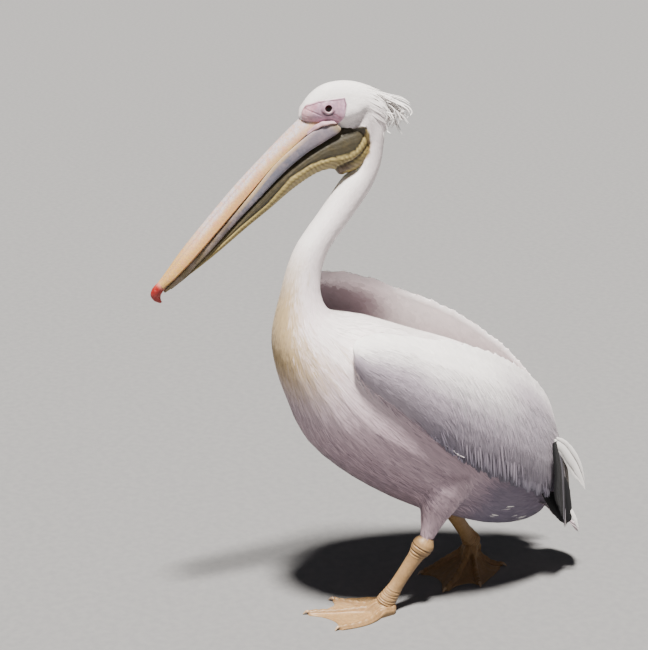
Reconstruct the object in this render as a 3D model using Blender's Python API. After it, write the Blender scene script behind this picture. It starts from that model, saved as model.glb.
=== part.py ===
"""A great white pelican, life size, standing with its left foot forward and its head turned a
little to its right. Metres, +Z up, the bird faces -Y and its left side is at +X.

Profiles are given in centimetres: fwd is the distance forward of the body's middle (-Y) and z is
the height. Run with: blender --background --python part.py
"""

import math

import bmesh
import bpy
from mathutils import Matrix, Vector

CM = 0.01
GAP = 0.0003  # between neighbouring solids

# The head and upper neck turn about a vertical axis this far forward.
TURN_FWD = 14.0
HEAD_TURN = 14.0  # degrees, to the bird's right

# The bill runs from its base on the forehead, pitched down.
BILL_BASE = (26.6, 93.2)
BILL_PITCH = 49.5  # degrees below the horizon
BILL_LENGTH = 39.5

# A station is (fwd, z) of its upper and lower point, half width, turn. Head to tail.
HEAD = [
    ((26.3, 94.1), (26.0, 93.4), 0.6, 14),
    ((25.8, 95.8), (24.7, 93.0), 2.2, 14),
    ((24.4, 97.9), (22.2, 92.6), 2.75, 14),
    ((22.3, 99.6), (19.6, 92.2), 3.0, 14),
    ((19.5, 100.4), (17.4, 91.3), 3.2, 14),
    ((16.2, 100.3), (15.8, 90.4), 3.3, 14),
    ((12.8, 99.1), (14.9, 89.5), 3.15, 14),
    ((10.6, 97.2), (14.7, 88.5), 2.95, 14),
]
NECK_UPPER = [
    ((10.1, 94.2), (14.6, 87.5), 2.8, 14),
    ((10.3, 91.2), (15.0, 86.5), 2.75, 13),
    ((10.6, 88.2), (15.8, 85.4), 2.75, 11),
    ((11.1, 84.9), (16.7, 84.2), 2.8, 8),
    ((12.9, 80.8), (18.2, 83.4), 2.9, 5),
]
NECK_MIDDLE = [
    ((15.7, 77.1), (20.2, 81.0), 3.0, 2),
    ((18.6, 73.8), (23.2, 77.2), 3.1, 0),
    ((21.2, 70.5), (27.1, 72.4), 3.15, 0),
]
NECK_LOWER = [
    ((22.4, 67.2), (29.3, 68.0), 3.35, 0),
    ((22.8, 63.8), (30.7, 62.8), 3.85, 0),
    ((22.1, 61.0), (31.8, 58.0), 5.0, 0),
]
BREAST = [
    ((20.4, 59.4), (32.1, 53.2), 7.0, 0),
    ((17.0, 58.5), (31.0, 47.6), 9.4, 0),
    ((12.5, 57.3), (28.6, 41.0), 11.3, 0),
    ((7.5, 55.4), (25.6, 34.3), 12.4, 0),
]
TRUNK = [
    ((2.0, 53.2), (19.7, 28.3), 13.0, 0),
    ((-4.0, 51.0), (12.8, 23.1), 13.0, 0),
    ((-10.0, 48.0), (5.0, 18.4), 12.4, 0),
]
RUMP = [
    ((-15.4, 44.4), (-2.7, 15.2), 10.8, 0),
    ((-20.4, 39.8), (-10.0, 12.2), 8.6, 0),
    ((-24.0, 34.0), (-16.6, 10.8), 6.2, 0),
    ((-26.6, 27.4), (-21.8, 10.9), 3.9, 0),
    ((-27.9, 21.6), (-25.0, 12.0), 1.9, 0),
]
CHAIN = [
    ("head", HEAD),
    ("neck_upper", NECK_UPPER),
    ("neck_middle", NECK_MIDDLE),
    ("neck_lower", NECK_LOWER),
    ("breast", BREAST),
    ("trunk", TRUNK),
    ("rump", RUMP),
]
CHAIN_SIDES = 20
CHAIN_STEPS = 2  # rings for each station

EYE_FWD, EYE_Z, EYE_SIDE = 21.2, 95.9, 2.3
EYE_RADIUS = 0.95

# Bill stations: s along the bill, h across it, half width, where it is widest from its underside.
BILL_UPPER = [
    ((-6.0, -0.4), (-6.0, -6.0), 1.7, 0.4),
    ((-1.0, -0.2), (-2.4, -3.5), 2.2, 0.35),
    ((3.0, 0.2), (2.0, -2.5), 2.3, 0.3),
    ((8.0, 0.6), (8.0, -1.75), 2.1, 0.3),
    ((15.0, 1.05), (15.0, -1.8), 2.0, 0.3),
    ((23.0, 1.15), (23.0, -1.75), 2.15, 0.3),
    ((30.0, 1.05), (30.0, -1.55), 2.3, 0.3),
    ((34.5, 0.75), (34.5, -1.25), 1.9, 0.35),
    ((37.3, 0.6), (37.3, -1.0), 1.1, 0.45),
]
NAIL = [
    ((37.34, 0.62), (37.34, -1.02), 1.05, 0.5),
    ((38.6, 0.7), (38.3, -1.1), 0.9, 0.5),
    ((39.8, 0.2), (38.9, -1.35), 0.65, 0.5),
    ((40.2, -0.9), (39.3, -1.75), 0.4, 0.5),
    ((39.9, -2.0), (39.5, -2.15), 0.14, 0.5),
]
# The lower jaw's two bars: s, top and bottom h, how far out the outer face is, thickness.
JAW = [
    (-5.2, -5.7, -6.2, 2.2, 0.5),
    (-3.6, -4.6, -6.2, 2.8, 0.8),
    (-1.2, -3.1, -5.4, 2.95, 0.85),
    (3.0, -2.0, -4.3, 2.8, 0.8),
    (8.0, -1.5, -3.6, 2.45, 0.7),
    (14.0, -1.6, -3.3, 2.15, 0.65),
    (20.0, -1.55, -2.9, 2.0, 0.6),
    (27.0, -1.4, -2.6, 1.95, 0.55),
    (33.0, -1.2, -2.2, 1.6, 0.55),
    (37.0, -1.0, -1.7, 0.8, 0.5),
]
# The pouch hangs between the bars.
POUCH = [
    ((36.6, -1.75), (36.6, -2.0), 0.3, 0.5),
    ((31.5, -2.3), (31.5, -3.0), 1.15, 0.5),
    ((26.0, -2.5), (26.0, -4.0), 1.55, 0.5),
    ((20.0, -2.7), (20.0, -5.1), 1.8, 0.5),
    ((14.0, -3.0), (14.0, -6.4), 2.1, 0.5),
    ((9.0, -3.3), (9.2, -7.3), 2.35, 0.5),
    ((4.5, -3.9), (5.4, -8.5), 2.6, 0.5),
    ((1.6, -4.6), (3.0, -9.8), 2.75, 0.5),
    ((-1.2, -5.4), (2.3, -11.4), 2.8, 0.5),
    ((-3.8, -6.4), (1.4, -13.1), 2.75, 0.5),
    ((-6.0, -8.4), (0.0, -14.0), 2.5, 0.5),
    ((-8.2, -10.2), (-2.0, -15.2), 2.0, 0.5),
]

# A wing station: fwd, then (side, z) of its top edge, its outermost line and its hem, thickness.
WING = [
    (22.0, (11.0, 55.6), (12.4, 53.8), (11.8, 51.6), 1.2),
    (21.0, (10.2, 57.0), (13.0, 53.6), (12.2, 49.6), 2.6),
    (18.0, (9.6, 57.6), (13.9, 52.4), (13.0, 46.4), 3.4),
    (13.0, (9.2, 57.0), (14.6, 50.6), (13.6, 42.6), 3.6),
    (7.0, (8.9, 55.2), (15.1, 47.6), (13.9, 36.8), 3.4),
    (1.0, (8.5, 53.6), (15.2, 44.6), (13.8, 32.0), 3.2),
    (-5.0, (7.8, 51.4), (14.8, 41.0), (13.2, 28.4), 3.0),
    (-11.0, (6.6, 48.4), (13.6, 37.2), (12.0, 25.0), 2.8),
    (-17.0, (4.8, 44.4), (11.4, 33.4), (10.2, 21.8), 2.6),
    (-22.0, (2.9, 39.8), (8.8, 29.8), (8.2, 19.2), 2.2),
    (-24.8, (1.6, 35.6), (6.8, 27.4), (6.8, 18.6), 1.9),
    (-26.8, (0.9, 30.2), (4.8, 25.0), (5.0, 19.2), 1.3),
]
# How far the right wing is held up and out along its length: fwd, up, out.
RIGHT_LIFT = [
    (22.0, 6.4, 0.6),
    (8.0, 6.2, 0.4),
    (1.5, 4.8, 0.3),
    (-4.0, 4.3, 0.2),
    (-9.0, 4.0, 0.1),
    (-16.0, 3.1, 0.0),
    (-22.0, 1.8, 0.0),
    (-30.0, 0.3, 0.0),
]
WING_STEPS = 2
WING_ARC = 7

# Flight feathers as one tapered blade for each wing, from under the coverts to the tips:
# centre (fwd, side, z), half depth and half thickness.
PRIMARIES = [
    ((-21.8, 7.4, 22.5), 2.6, 0.6),
    ((-24.7, 6.4, 18.6), 3.0, 0.6),
    ((-26.6, 5.9, 14.4), 2.2, 0.45),
    ((-28.3, 5.6, 10.6), 0.8, 0.25),
]
# The long curved plume that stands clear of each wing's end.
PLUME = [
    ((-23.0, 7.6, 29.2), 0.8, 0.3),
    ((-25.4, 6.7, 27.1), 1.25, 0.3),
    ((-27.8, 6.2, 24.0), 1.2, 0.25),
    ((-29.6, 5.9, 20.9), 0.7, 0.18),
    ((-30.8, 5.7, 17.8), 0.2, 0.08),
]
TAIL = [
    ((-20.5, 0.0, 17.4), 4.2, 2.0),
    ((-25.4, 0.0, 13.6), 4.7, 1.1),
    ((-29.4, 0.0, 10.4), 4.8, 0.6),
    ((-32.2, 0.0, 8.3), 3.4, 0.3),
]
# The loose crest of the nape: (fwd, side, z), half depth, half width.
CREST = [
    ((11.4, 0.0, 97.0), 1.5, 2.0),
    ((9.2, 0.0, 96.2), 1.5, 1.8),
    ((7.4, 0.0, 94.6), 1.2, 1.4),
    ((6.2, 0.0, 92.6), 0.7, 0.9),
    ((5.6, 0.0, 90.8), 0.2, 0.3),
]

# Each leg's hip, ankle and toe joint as (fwd, side, z), which way its middle toe points in
# degrees towards the midline, the height its toe joint is lifted by, and its side.
LEGS = {
    "left": {"hip": (0.5, 7.4, 26.0), "ankle": (4.3, 6.6, 13.5), "joint": (11.6, 5.0, 2.1),
             "turn": 20.0, "lift": 0.0, "side": 1},
    "right": {"hip": (-3.6, -7.4, 25.0), "ankle": (-7.6, -7.0, 14.0), "joint": (-13.8, -7.9, 4.6),
              "turn": 41.0, "lift": 2.6, "side": -1},
}
# Thigh stations: share of the way from hip to ankle, half width, half depth.
THIGH = [
    (-0.12, 4.6, 6.0),
    (0.15, 4.4, 5.8),
    (0.4, 3.5, 4.4),
    (0.62, 2.5, 3.0),
    (0.82, 1.75, 2.1),
    (0.96, 1.5, 1.7),
]
# Shank stations: share of the way from ankle to toe joint, half width, half depth.
SHANK = [
    (-0.05, 1.3, 1.5),
    (0.02, 1.85, 2.05),
    (0.12, 1.75, 2.0),
    (0.22, 1.25, 1.6),
    (0.45, 1.05, 1.4),
    (0.7, 1.05, 1.4),
    (0.86, 1.3, 1.65),
    (1.0, 1.6, 1.85),
]
# Toes from the inner side outwards: degrees from the middle toe, length, half width, bow outwards.
TOES = [(-98.0, 6.4, 0.5, 0.0), (-29.0, 11.0, 0.6, 0.0), (0.0, 14.8, 0.7, 0.0), (36.0, 11.8, 0.7, 1.5)]
TOE_NAMES = ["hallux", "inner", "middle", "outer"]
WEB_REACH = 0.8  # how far the web's edge reaches between two toe tips, as a share of their length
WEB_THICKNESS = 0.3
FOOT_SHARES = [0.0, 0.12, 0.25, 0.5, 0.75, 0.92, 1.0]
CLAW_LENGTH = 1.1

PINK_WHITE = (0.86, 0.74, 0.74)
SILVER = (0.70, 0.68, 0.70)
SLATE = (0.07, 0.07, 0.08)
WHITE = (0.86, 0.85, 0.82)
HORN = (0.80, 0.62, 0.42)
BLUE_GREY = (0.50, 0.52, 0.58)
RED = (0.62, 0.10, 0.07)
YELLOW = (0.62, 0.50, 0.16)
FLESH = (0.80, 0.60, 0.38)
DARK_EYE = (0.05, 0.01, 0.01)


def clear_scene():
    for obj in list(bpy.data.objects):
        bpy.data.objects.remove(obj)


def collection(name, hidden=False):
    made = bpy.data.collections.new(name)
    bpy.context.scene.collection.children.link(made)
    made.hide_render = hidden
    return made


def material(name, colour, roughness):
    made = bpy.data.materials.new(name)
    made.use_nodes = True
    shader = made.node_tree.nodes["Principled BSDF"]
    shader.inputs["Base Color"].default_value = (*colour, 1.0)
    shader.inputs["Roughness"].default_value = roughness
    return made


def body_point(fwd, z, side=0.0, turn=0.0):
    """A point in metres from centimetres forward, up and to the left, turned about the neck's axis."""
    angle = math.radians(turn)
    reach = fwd - TURN_FWD
    x = side * math.cos(angle) - reach * math.sin(angle)
    y = -TURN_FWD - side * math.sin(angle) - reach * math.cos(angle)
    return Vector((x, y, z)) * CM


def bill_place(s, h):
    """(fwd, z) of a point s along the bill and h above its line."""
    pitch = math.radians(BILL_PITCH)
    fwd = BILL_BASE[0] + s * math.cos(pitch) + h * math.sin(pitch)
    return fwd, BILL_BASE[1] - s * math.sin(pitch) + h * math.cos(pitch)


def smooth_rows(rows, steps):
    """Rows of numbers with steps - 1 rows between each pair, on a Catmull-Rom curve."""
    found = []
    for i in range(len(rows) - 1):
        before, a, b, after = rows[max(i - 1, 0)], rows[i], rows[i + 1], rows[min(i + 2, len(rows) - 1)]
        for k in range(steps):
            t = k / steps
            weights = (
                -0.5 * t + t * t - 0.5 * t ** 3,
                1 - 2.5 * t * t + 1.5 * t ** 3,
                0.5 * t + 2 * t * t - 1.5 * t ** 3,
                -0.5 * t * t + 0.5 * t ** 3,
            )
            found.append([sum(w * p for w, p in zip(weights, column))
                          for column in zip(before, a, b, after)])
    found.append(list(rows[-1]))
    return found


def oval(top, bottom, half_width, turn, wide_at=0.5, sides=CHAIN_SIDES, power=2.15):
    """A ring round the chord from top to bottom, widest at wide_at of its height."""
    low = Vector(bottom)
    chord = Vector(top) - low
    points = []
    for i in range(sides):
        angle = 2 * math.pi * i / sides
        up = math.copysign(abs(math.cos(angle)) ** (2 / power), math.cos(angle))
        out = math.copysign(abs(math.sin(angle)) ** (2 / power), math.sin(angle))
        share = wide_at + up * ((1 - wide_at) if up > 0 else wide_at)
        place = low + chord * share
        points.append(body_point(place.x, place.y, half_width * out, turn))
    return points


def loft(name, rings, shade, home):
    """A closed solid through rings with the same number of points, with flat ends."""
    mesh = bpy.data.meshes.new(name)
    work = bmesh.new()
    rows = [[work.verts.new(p) for p in ring] for ring in rings]
    count = len(rows[0])
    for a, b in zip(rows, rows[1:]):
        for i in range(count):
            j = (i + 1) % count
            work.faces.new((a[i], a[j], b[j], b[i]))
    work.faces.new(rows[0][::-1])
    work.faces.new(rows[-1])
    bmesh.ops.recalc_face_normals(work, faces=work.faces)
    if work.calc_volume(signed=True) < 0:
        bmesh.ops.reverse_faces(work, faces=work.faces)
    work.to_mesh(mesh)
    work.free()
    mesh.shade_smooth()
    obj = bpy.data.objects.new(name, mesh)
    if shade is not None:
        mesh.materials.append(shade)
    home.objects.link(obj)
    return obj


def centre(ring):
    return sum(ring, Vector()) / len(ring)


def draw_back(rings, end, amount=GAP / 2):
    """The rings with the one at this end moved towards its neighbour, so that two solids don't touch."""
    neighbour = 1 if end == 0 else -2
    step = (centre(rings[neighbour]) - centre(rings[end])).normalized() * amount
    moved = list(rings)
    moved[end] = [p + step for p in rings[end]]
    return moved


def tool_copy(obj, grow, home):
    """A hidden copy of a solid, a little larger all round, to cut its neighbours with."""
    made = bpy.data.objects.new(obj.name + "_tool", obj.data)
    for kept in obj.modifiers:
        if kept.type == "BOOLEAN":
            again = made.modifiers.new(kept.name, "BOOLEAN")
            again.object = kept.object
            again.operation = kept.operation
    swell = made.modifiers.new("grow", "DISPLACE")
    swell.strength = grow
    swell.mid_level = 0.0
    made.hide_render = True
    made.display_type = "WIRE"
    home.objects.link(made)
    return made


def cut(obj, *tools, operation="DIFFERENCE"):
    for tool in tools:
        modifier = obj.modifiers.new("cut_" + tool.name, "BOOLEAN")
        modifier.object = tool
        modifier.operation = operation


def chain_rings():
    """The rings of the whole body from bill base to rump, and where each length starts."""
    rows = [[*top, *low, width, turn] for _, part in CHAIN for top, low, width, turn in part]
    rings = [oval(r[0:2], r[2:4], r[4], r[5]) for r in smooth_rows(rows, CHAIN_STEPS)]
    starts, at = [], 0
    for _, part in CHAIN:
        starts.append(at * CHAIN_STEPS)
        at += len(part)
    return rings, starts + [len(rings) - 1]


def build_body(parts, tools, shade):
    rings, starts = chain_rings()
    solids = {}
    for i, (name, _) in enumerate(CHAIN):
        own = rings[starts[i]:starts[i + 1] + 1]
        if i > 0:
            own = draw_back(own, 0)
        if i < len(CHAIN) - 1:
            own = draw_back(own, -1)
        solids[name] = loft(name, own, shade, parts)
    whole = loft("body_whole", rings, None, tools)
    body_tool = tool_copy(whole, GAP * 1.3, tools)
    bpy.data.objects.remove(whole)
    return solids, body_tool


def ball(name, place, radius, shade, home):
    mesh = bpy.data.meshes.new(name)
    work = bmesh.new()
    bmesh.ops.create_uvsphere(work, u_segments=14, v_segments=8, radius=radius)
    work.to_mesh(mesh)
    work.free()
    mesh.shade_smooth()
    if shade is not None:
        mesh.materials.append(shade)
    obj = bpy.data.objects.new(name, mesh)
    obj.location = place
    home.objects.link(obj)
    return obj


def build_eyes(parts, tools, head, shade):
    for name, side in (("left", EYE_SIDE), ("right", -EYE_SIDE)):
        place = body_point(EYE_FWD, EYE_Z, side, HEAD_TURN)
        ball("eye_" + name, place, EYE_RADIUS * CM, shade, parts)
        socket = ball("socket_" + name, place, EYE_RADIUS * CM + GAP, None, tools)
        socket.hide_render = True
        cut(head, socket)


def bill_rings(stations, sides, power=2.0, steps=2):
    rows = [[*top, *low, width, wide] for top, low, width, wide in stations]
    rings = []
    for r in smooth_rows(rows, steps):
        rings.append(oval(bill_place(*r[0:2]), bill_place(*r[2:4]), r[4], HEAD_TURN, r[5], sides, power))
    return rings


def jaw_rings(side, sides=10):
    """One bar of the lower jaw: side is 1 for the left and -1 for the right."""
    rings = []
    for s, top, low, outer, thick in smooth_rows(JAW, 2):
        ring = []
        for i in range(sides):
            angle = 2 * math.pi * i / sides
            h = (top + low) / 2 + (top - low) / 2 * math.cos(angle)
            out = outer - thick / 2 + thick / 2 * math.sin(angle)
            ring.append(body_point(*bill_place(s, h), side * out, HEAD_TURN))
        rings.append(ring)
    return rings


def build_bill(parts, tools, body_tool, shades):
    upper = loft("bill_upper", bill_rings(BILL_UPPER, 14), shades["horn"], parts)
    cut(upper, body_tool)
    loft("bill_nail", bill_rings(NAIL, 12), shades["red"], parts)
    upper_tool = tool_copy(upper, GAP, tools)
    jaw_tools = []
    for name, side in (("left", 1), ("right", -1)):
        jaw = loft("jaw_" + name, jaw_rings(side), shades["blue_grey"], parts)
        cut(jaw, body_tool, upper_tool)
        jaw_tools.append(tool_copy(jaw, GAP, tools))
    pouch = loft("pouch", bill_rings(POUCH, 14, 2.2, 1), shades["yellow"], parts)
    cut(pouch, body_tool, upper_tool, *jaw_tools)


def along(rows, fwd):
    """The values at fwd, read from rows that start with fwd in falling order."""
    for a, b in zip(rows, rows[1:]):
        if a[0] >= fwd >= b[0]:
            t = (a[0] - fwd) / (a[0] - b[0])
            return [p + (q - p) * t for p, q in zip(a[1:], b[1:])]
    return list(rows[0][1:] if fwd > rows[0][0] else rows[-1][1:])


def wing_ring(fwd, top, middle, hem, thick, side):
    """A crescent: an outer arc through top, middle and hem, and an inner arc thick behind it."""
    lift, out = along(RIGHT_LIFT, fwd) if side < 0 else (0.0, 0.0)
    a, b, c = (Vector((p[0] + out, p[1] + lift)) for p in (top, middle, hem))
    turn_point = 2 * b - (a + c) / 2

    def arc(v):
        return a * (1 - v) ** 2 + turn_point * (2 * v * (1 - v)) + c * v * v

    def inward(v):
        run = (turn_point - a) * (1 - v) + (c - turn_point) * v
        return Vector((run.y, -run.x)).normalized()

    ring = [arc(i / WING_ARC) for i in range(WING_ARC + 1)]
    inner = WING_ARC - 2
    for i in range(inner + 1):
        v = 0.95 - 0.9 * i / inner
        depth = thick * (0.3 + 0.7 * math.sin(math.pi * v) ** 0.6)
        ring.append(arc(v) + inward(v) * depth)
    return [body_point(fwd, p.y, side * p.x) for p in ring]


def blade_rings(stations, side, sides=10, steps=2):
    """Rings of a flat blade along its centre line: deep across the line, thin from side to side."""
    rows = smooth_rows([[*place, deep, thick] for place, deep, thick in stations], steps)
    lifts = [along(RIGHT_LIFT, r[0])[0] if side < 0 else 0.0 for r in rows]
    places = [body_point(r[0], r[2] + lift, side * r[1]) for r, lift in zip(rows, lifts)]
    rings = []
    for i, (place, row) in enumerate(zip(places, rows)):
        run = (places[min(i + 1, len(places) - 1)] - places[max(i - 1, 0)]).normalized()
        across = run.cross(Vector((1, 0, 0))).normalized()
        thin = run.cross(across).normalized()
        rings.append([
            place + across * (row[3] * CM * math.cos(2 * math.pi * k / sides))
            + thin * (row[4] * CM * math.sin(2 * math.pi * k / sides))
            for k in range(sides)
        ])
    return rings


def build_wings(parts, tools, body_tool, shades):
    """Wings, flight feathers and plumes. Returns the grown flight feathers, which cut the tail."""
    rows = smooth_rows([[w[0], *w[1], *w[2], *w[3], w[4]] for w in WING], WING_STEPS)
    cutters = []
    for name, side in (("left", 1), ("right", -1)):
        rings = [wing_ring(r[0], r[1:3], r[3:5], r[5:7], r[7], side) for r in rows]
        wing = loft("wing_" + name, rings, shades["silver"], parts)
        cut(wing, body_tool)
        wing_tool = tool_copy(wing, GAP * 3, tools)
        blade = loft("primaries_" + name, blade_rings(PRIMARIES, side), shades["slate"], parts)
        cut(blade, body_tool, wing_tool)
        blade_tool = tool_copy(blade, GAP * 3, tools)
        plume = loft("plume_" + name, blade_rings(PLUME, side, sides=8), shades["white"], parts)
        cut(plume, wing_tool, blade_tool, body_tool)
        cutters.append(blade_tool)
    return cutters


def flat_rings(stations, turn=0.0, sides=12, steps=2):
    """Rings of a flat body whose width lies level: half width first, then half thickness."""
    rows = smooth_rows([[*place, wide, thick] for place, wide, thick in stations], steps)
    places = [body_point(r[0], r[2], r[1], turn) for r in rows]
    across = Matrix.Rotation(-math.radians(turn), 3, "Z") @ Vector((1, 0, 0))
    rings = []
    for i, (place, row) in enumerate(zip(places, rows)):
        run = (places[min(i + 1, len(places) - 1)] - places[max(i - 1, 0)]).normalized()
        up = run.cross(across).normalized()
        rings.append([
            place + across * (row[3] * CM * math.cos(2 * math.pi * k / sides))
            + up * (row[4] * CM * math.sin(2 * math.pi * k / sides))
            for k in range(sides)
        ])
    return rings


def build_tail_and_crest(parts, body_tool, cutters, shades):
    tail = loft("tail", flat_rings(TAIL), shades["white"], parts)
    cut(tail, body_tool, *cutters)
    swapped = [(place, wide, deep) for place, deep, wide in CREST]
    crest = loft("crest", flat_rings(swapped, HEAD_TURN), shades["white"], parts)
    cut(crest, body_tool)


def limb_rings(start, end, stations, sides):
    """Rings across the line from start to end, wider fore and aft than from side to side."""
    run = (end - start).normalized()
    across = Vector((1, 0, 0))
    across = (across - run * across.dot(run)).normalized()
    fore = run.cross(across)
    rings = []
    for share, wide, deep in stations:
        place = start.lerp(end, share)
        rings.append([
            place + across * (wide * CM * math.cos(2 * math.pi * k / sides))
            + fore * (deep * CM * math.sin(2 * math.pi * k / sides))
            for k in range(sides)
        ])
    return rings


def toe_directions(leg):
    """The level direction of each toe, hallux first."""
    found = []
    for angle, _, _, _ in TOES:
        heading = math.radians(leg["turn"] - angle) * leg["side"]
        found.append(Vector((-math.sin(heading), -math.cos(heading), 0)))
    return found


def foot_columns(leg):
    """(direction, length, sideways offset, bow, height at the joint, height at the tip) across the foot."""
    aims = toe_directions(leg)
    columns = []
    for i, (aim, (_, length, half, bow)) in enumerate(zip(aims, TOES)):
        out = Vector((-aim.y, aim.x, 0)) * leg["side"]
        for step, height in ((-1, 0.34), (0, 1.0), (1, 0.34)):
            reach = length - abs(step) * 0.5
            columns.append((aim, reach, out * (half * step), out * bow, 1.9 * height, 0.8 * height))
        if i < len(TOES) - 1:
            other, swell = TOES[i + 1][1], out * (TOES[i + 1][3] * 0.5)
            for t in (0.33, 0.67):
                between = aim.slerp(aims[i + 1], t)
                dip = 1 - (1 - WEB_REACH) * math.sin(math.pi * t) ** 0.7
                reach = (length + (other - length) * t) * dip
                columns.append((between, reach, Vector(), swell, 0.9, WEB_THICKNESS))
    return columns


def build_foot(name, leg, shade, home):
    """One webbed foot: toes and web as a single solid, flat underneath where it stands."""
    joint = body_point(leg["joint"][0], 0.0, leg["joint"][1])
    columns = foot_columns(leg)
    forward = toe_directions(leg)[2]
    across = Vector((-forward.y, forward.x, 0)) * leg["side"]
    top, bottom = [], []
    for share in FOOT_SHARES:
        upper, lower = [], []
        lifted = leg["lift"] * max(0.0, 1 - share / 0.75) ** 1.4
        for i, (aim, reach, offset, bow, joint_height, tip_height) in enumerate(columns):
            bunch = across * (1.6 * (2 * i / (len(columns) - 1) - 1)) - forward * 1.3
            ease = min(1.0, share / 0.22)
            sway = offset * ease + bow * math.sin(math.pi * share)
            place = joint + (bunch * (1 - ease) + sway + aim * (reach * share)) * CM
            height = tip_height + (joint_height - tip_height) * (1 - share) ** 2.6
            height = max(height, 1.9 * (1 - share / 0.3))
            upper.append(place + Vector((0, 0, (lifted + height) * CM)))
            lower.append(place + Vector((0, 0, lifted * CM)))
        top.append(upper)
        bottom.append(lower)
    return sheet_solid(name, top, bottom, shade, home)


def sheet_solid(name, top, bottom, shade, home):
    """A closed solid between two grids of points, joined round their edges."""
    work = bmesh.new()
    above = [[work.verts.new(p) for p in row] for row in top]
    below = [[work.verts.new(p) for p in row] for row in bottom]
    for grid in (above, below):
        for a, b in zip(grid, grid[1:]):
            for i in range(len(a) - 1):
                work.faces.new((a[i], a[i + 1], b[i + 1], b[i]))
    rims = [(above[0], below[0]), (above[-1], below[-1])]
    rims += [([r[k] for r in above], [r[k] for r in below]) for k in (0, -1)]
    for a, b in rims:
        for i in range(len(a) - 1):
            work.faces.new((a[i], a[i + 1], b[i + 1], b[i]))
    bmesh.ops.recalc_face_normals(work, faces=work.faces)
    if work.calc_volume(signed=True) < 0:
        bmesh.ops.reverse_faces(work, faces=work.faces)
    mesh = bpy.data.meshes.new(name)
    work.to_mesh(mesh)
    work.free()
    mesh.shade_smooth()
    mesh.materials.append(shade)
    obj = bpy.data.objects.new(name, mesh)
    home.objects.link(obj)
    return obj


def build_claws(name, leg, shade, parts):
    joint = body_point(leg["joint"][0], 0.0, leg["joint"][1])
    for toe, aim, (_, length, _, _) in zip(TOE_NAMES, toe_directions(leg), TOES):
        across = Vector((-aim.y, aim.x, 0))
        rings = []
        for share, radius, height in ((0, 0.36, 0.5), (0.35, 0.34, 0.48), (0.7, 0.22, 0.36),
                                      (1.0, 0.06, 0.16)):
            place = joint + aim * ((length + share * CLAW_LENGTH) * CM + GAP)
            place.z = height * CM
            rings.append([
                place + across * (radius * CM * math.cos(math.pi * k / 4))
                + Vector((0, 0, radius * CM * math.sin(math.pi * k / 4)))
                for k in range(8)
            ])
        loft(f"claw_{name}_{toe}", rings, shade, parts)


def build_legs(parts, tools, body_tool, shades):
    for name, leg in LEGS.items():
        hip, ankle, joint = (body_point(leg[k][0], leg[k][2], leg[k][1]) for k in ("hip", "ankle", "joint"))
        foot = build_foot("foot_" + name, leg, shades["flesh"], parts)
        shank = loft("shank_" + name, limb_rings(ankle, joint, SHANK, 12), shades["flesh"], parts)
        shank_tool = tool_copy(shank, GAP, tools)
        cut(foot, shank_tool)
        thigh = loft("thigh_" + name, limb_rings(hip, ankle, THIGH, 14), shades["down"], parts)
        cut(thigh, body_tool, shank_tool)
        build_claws(name, leg, shades["horn"], parts)


def stand_on_origin(parts):
    """Moves everything so that the middle of the model's box is over the origin and its lowest point at 0."""
    bpy.context.view_layer.update()
    low, high = Vector((1e9,) * 3), Vector((-1e9,) * 3)
    for obj in parts.objects:
        for vertex in obj.data.vertices:
            place = obj.matrix_world @ vertex.co
            low = Vector(map(min, low, place))
            high = Vector(map(max, high, place))
    base = bpy.data.objects.new("base", None)
    parts.objects.link(base)
    for obj in bpy.data.objects:
        if obj is not base:
            obj.parent = base
    base.location = (-(low.x + high.x) / 2, -(low.y + high.y) / 2, -low.z)


def main():
    clear_scene()
    parts, tools = collection("pelican"), collection("cutters", hidden=True)
    shades = {
        "down": material("down", PINK_WHITE, 0.8),
        "silver": material("silver", SILVER, 0.7),
        "slate": material("slate", SLATE, 0.5),
        "white": material("white", WHITE, 0.7),
        "horn": material("horn", HORN, 0.45),
        "blue_grey": material("blue_grey", BLUE_GREY, 0.5),
        "red": material("red", RED, 0.35),
        "yellow": material("yellow", YELLOW, 0.5),
        "flesh": material("flesh", FLESH, 0.55),
        "eye": material("eye", DARK_EYE, 0.05),
    }
    solids, body_tool = build_body(parts, tools, shades["down"])
    build_eyes(parts, tools, solids["head"], shades["eye"])
    build_bill(parts, tools, body_tool, shades)
    cutters = build_wings(parts, tools, body_tool, shades)
    build_tail_and_crest(parts, body_tool, cutters, shades)
    build_legs(parts, tools, body_tool, shades)
    stand_on_origin(parts)


main()
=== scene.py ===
"""The look of a standing great white pelican: skin, feathers, bill, pouch, eyes, legs and webbed feet.

Lengths in the named tables are centimetres in the bird's own frame: forward of the body's middle,
to its left, and up. place() turns them into the row frame's metres.
"""

import itertools
import math

import bmesh
import bpy
import numpy as np
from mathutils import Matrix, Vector
from mathutils.bvhtree import BVHTree


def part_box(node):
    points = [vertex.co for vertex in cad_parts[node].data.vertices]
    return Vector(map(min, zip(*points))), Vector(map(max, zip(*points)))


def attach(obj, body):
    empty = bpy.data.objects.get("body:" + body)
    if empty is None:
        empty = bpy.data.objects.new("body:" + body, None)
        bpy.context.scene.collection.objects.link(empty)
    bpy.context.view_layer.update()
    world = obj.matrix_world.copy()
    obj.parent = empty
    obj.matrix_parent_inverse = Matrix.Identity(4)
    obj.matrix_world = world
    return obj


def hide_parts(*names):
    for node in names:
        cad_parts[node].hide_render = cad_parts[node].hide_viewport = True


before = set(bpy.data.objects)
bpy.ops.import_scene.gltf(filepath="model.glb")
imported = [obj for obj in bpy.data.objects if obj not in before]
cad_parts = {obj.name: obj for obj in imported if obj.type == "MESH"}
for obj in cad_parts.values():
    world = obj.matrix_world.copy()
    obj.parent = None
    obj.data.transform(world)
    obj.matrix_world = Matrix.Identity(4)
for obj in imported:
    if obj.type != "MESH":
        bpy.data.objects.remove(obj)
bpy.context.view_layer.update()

CM = 0.01
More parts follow.
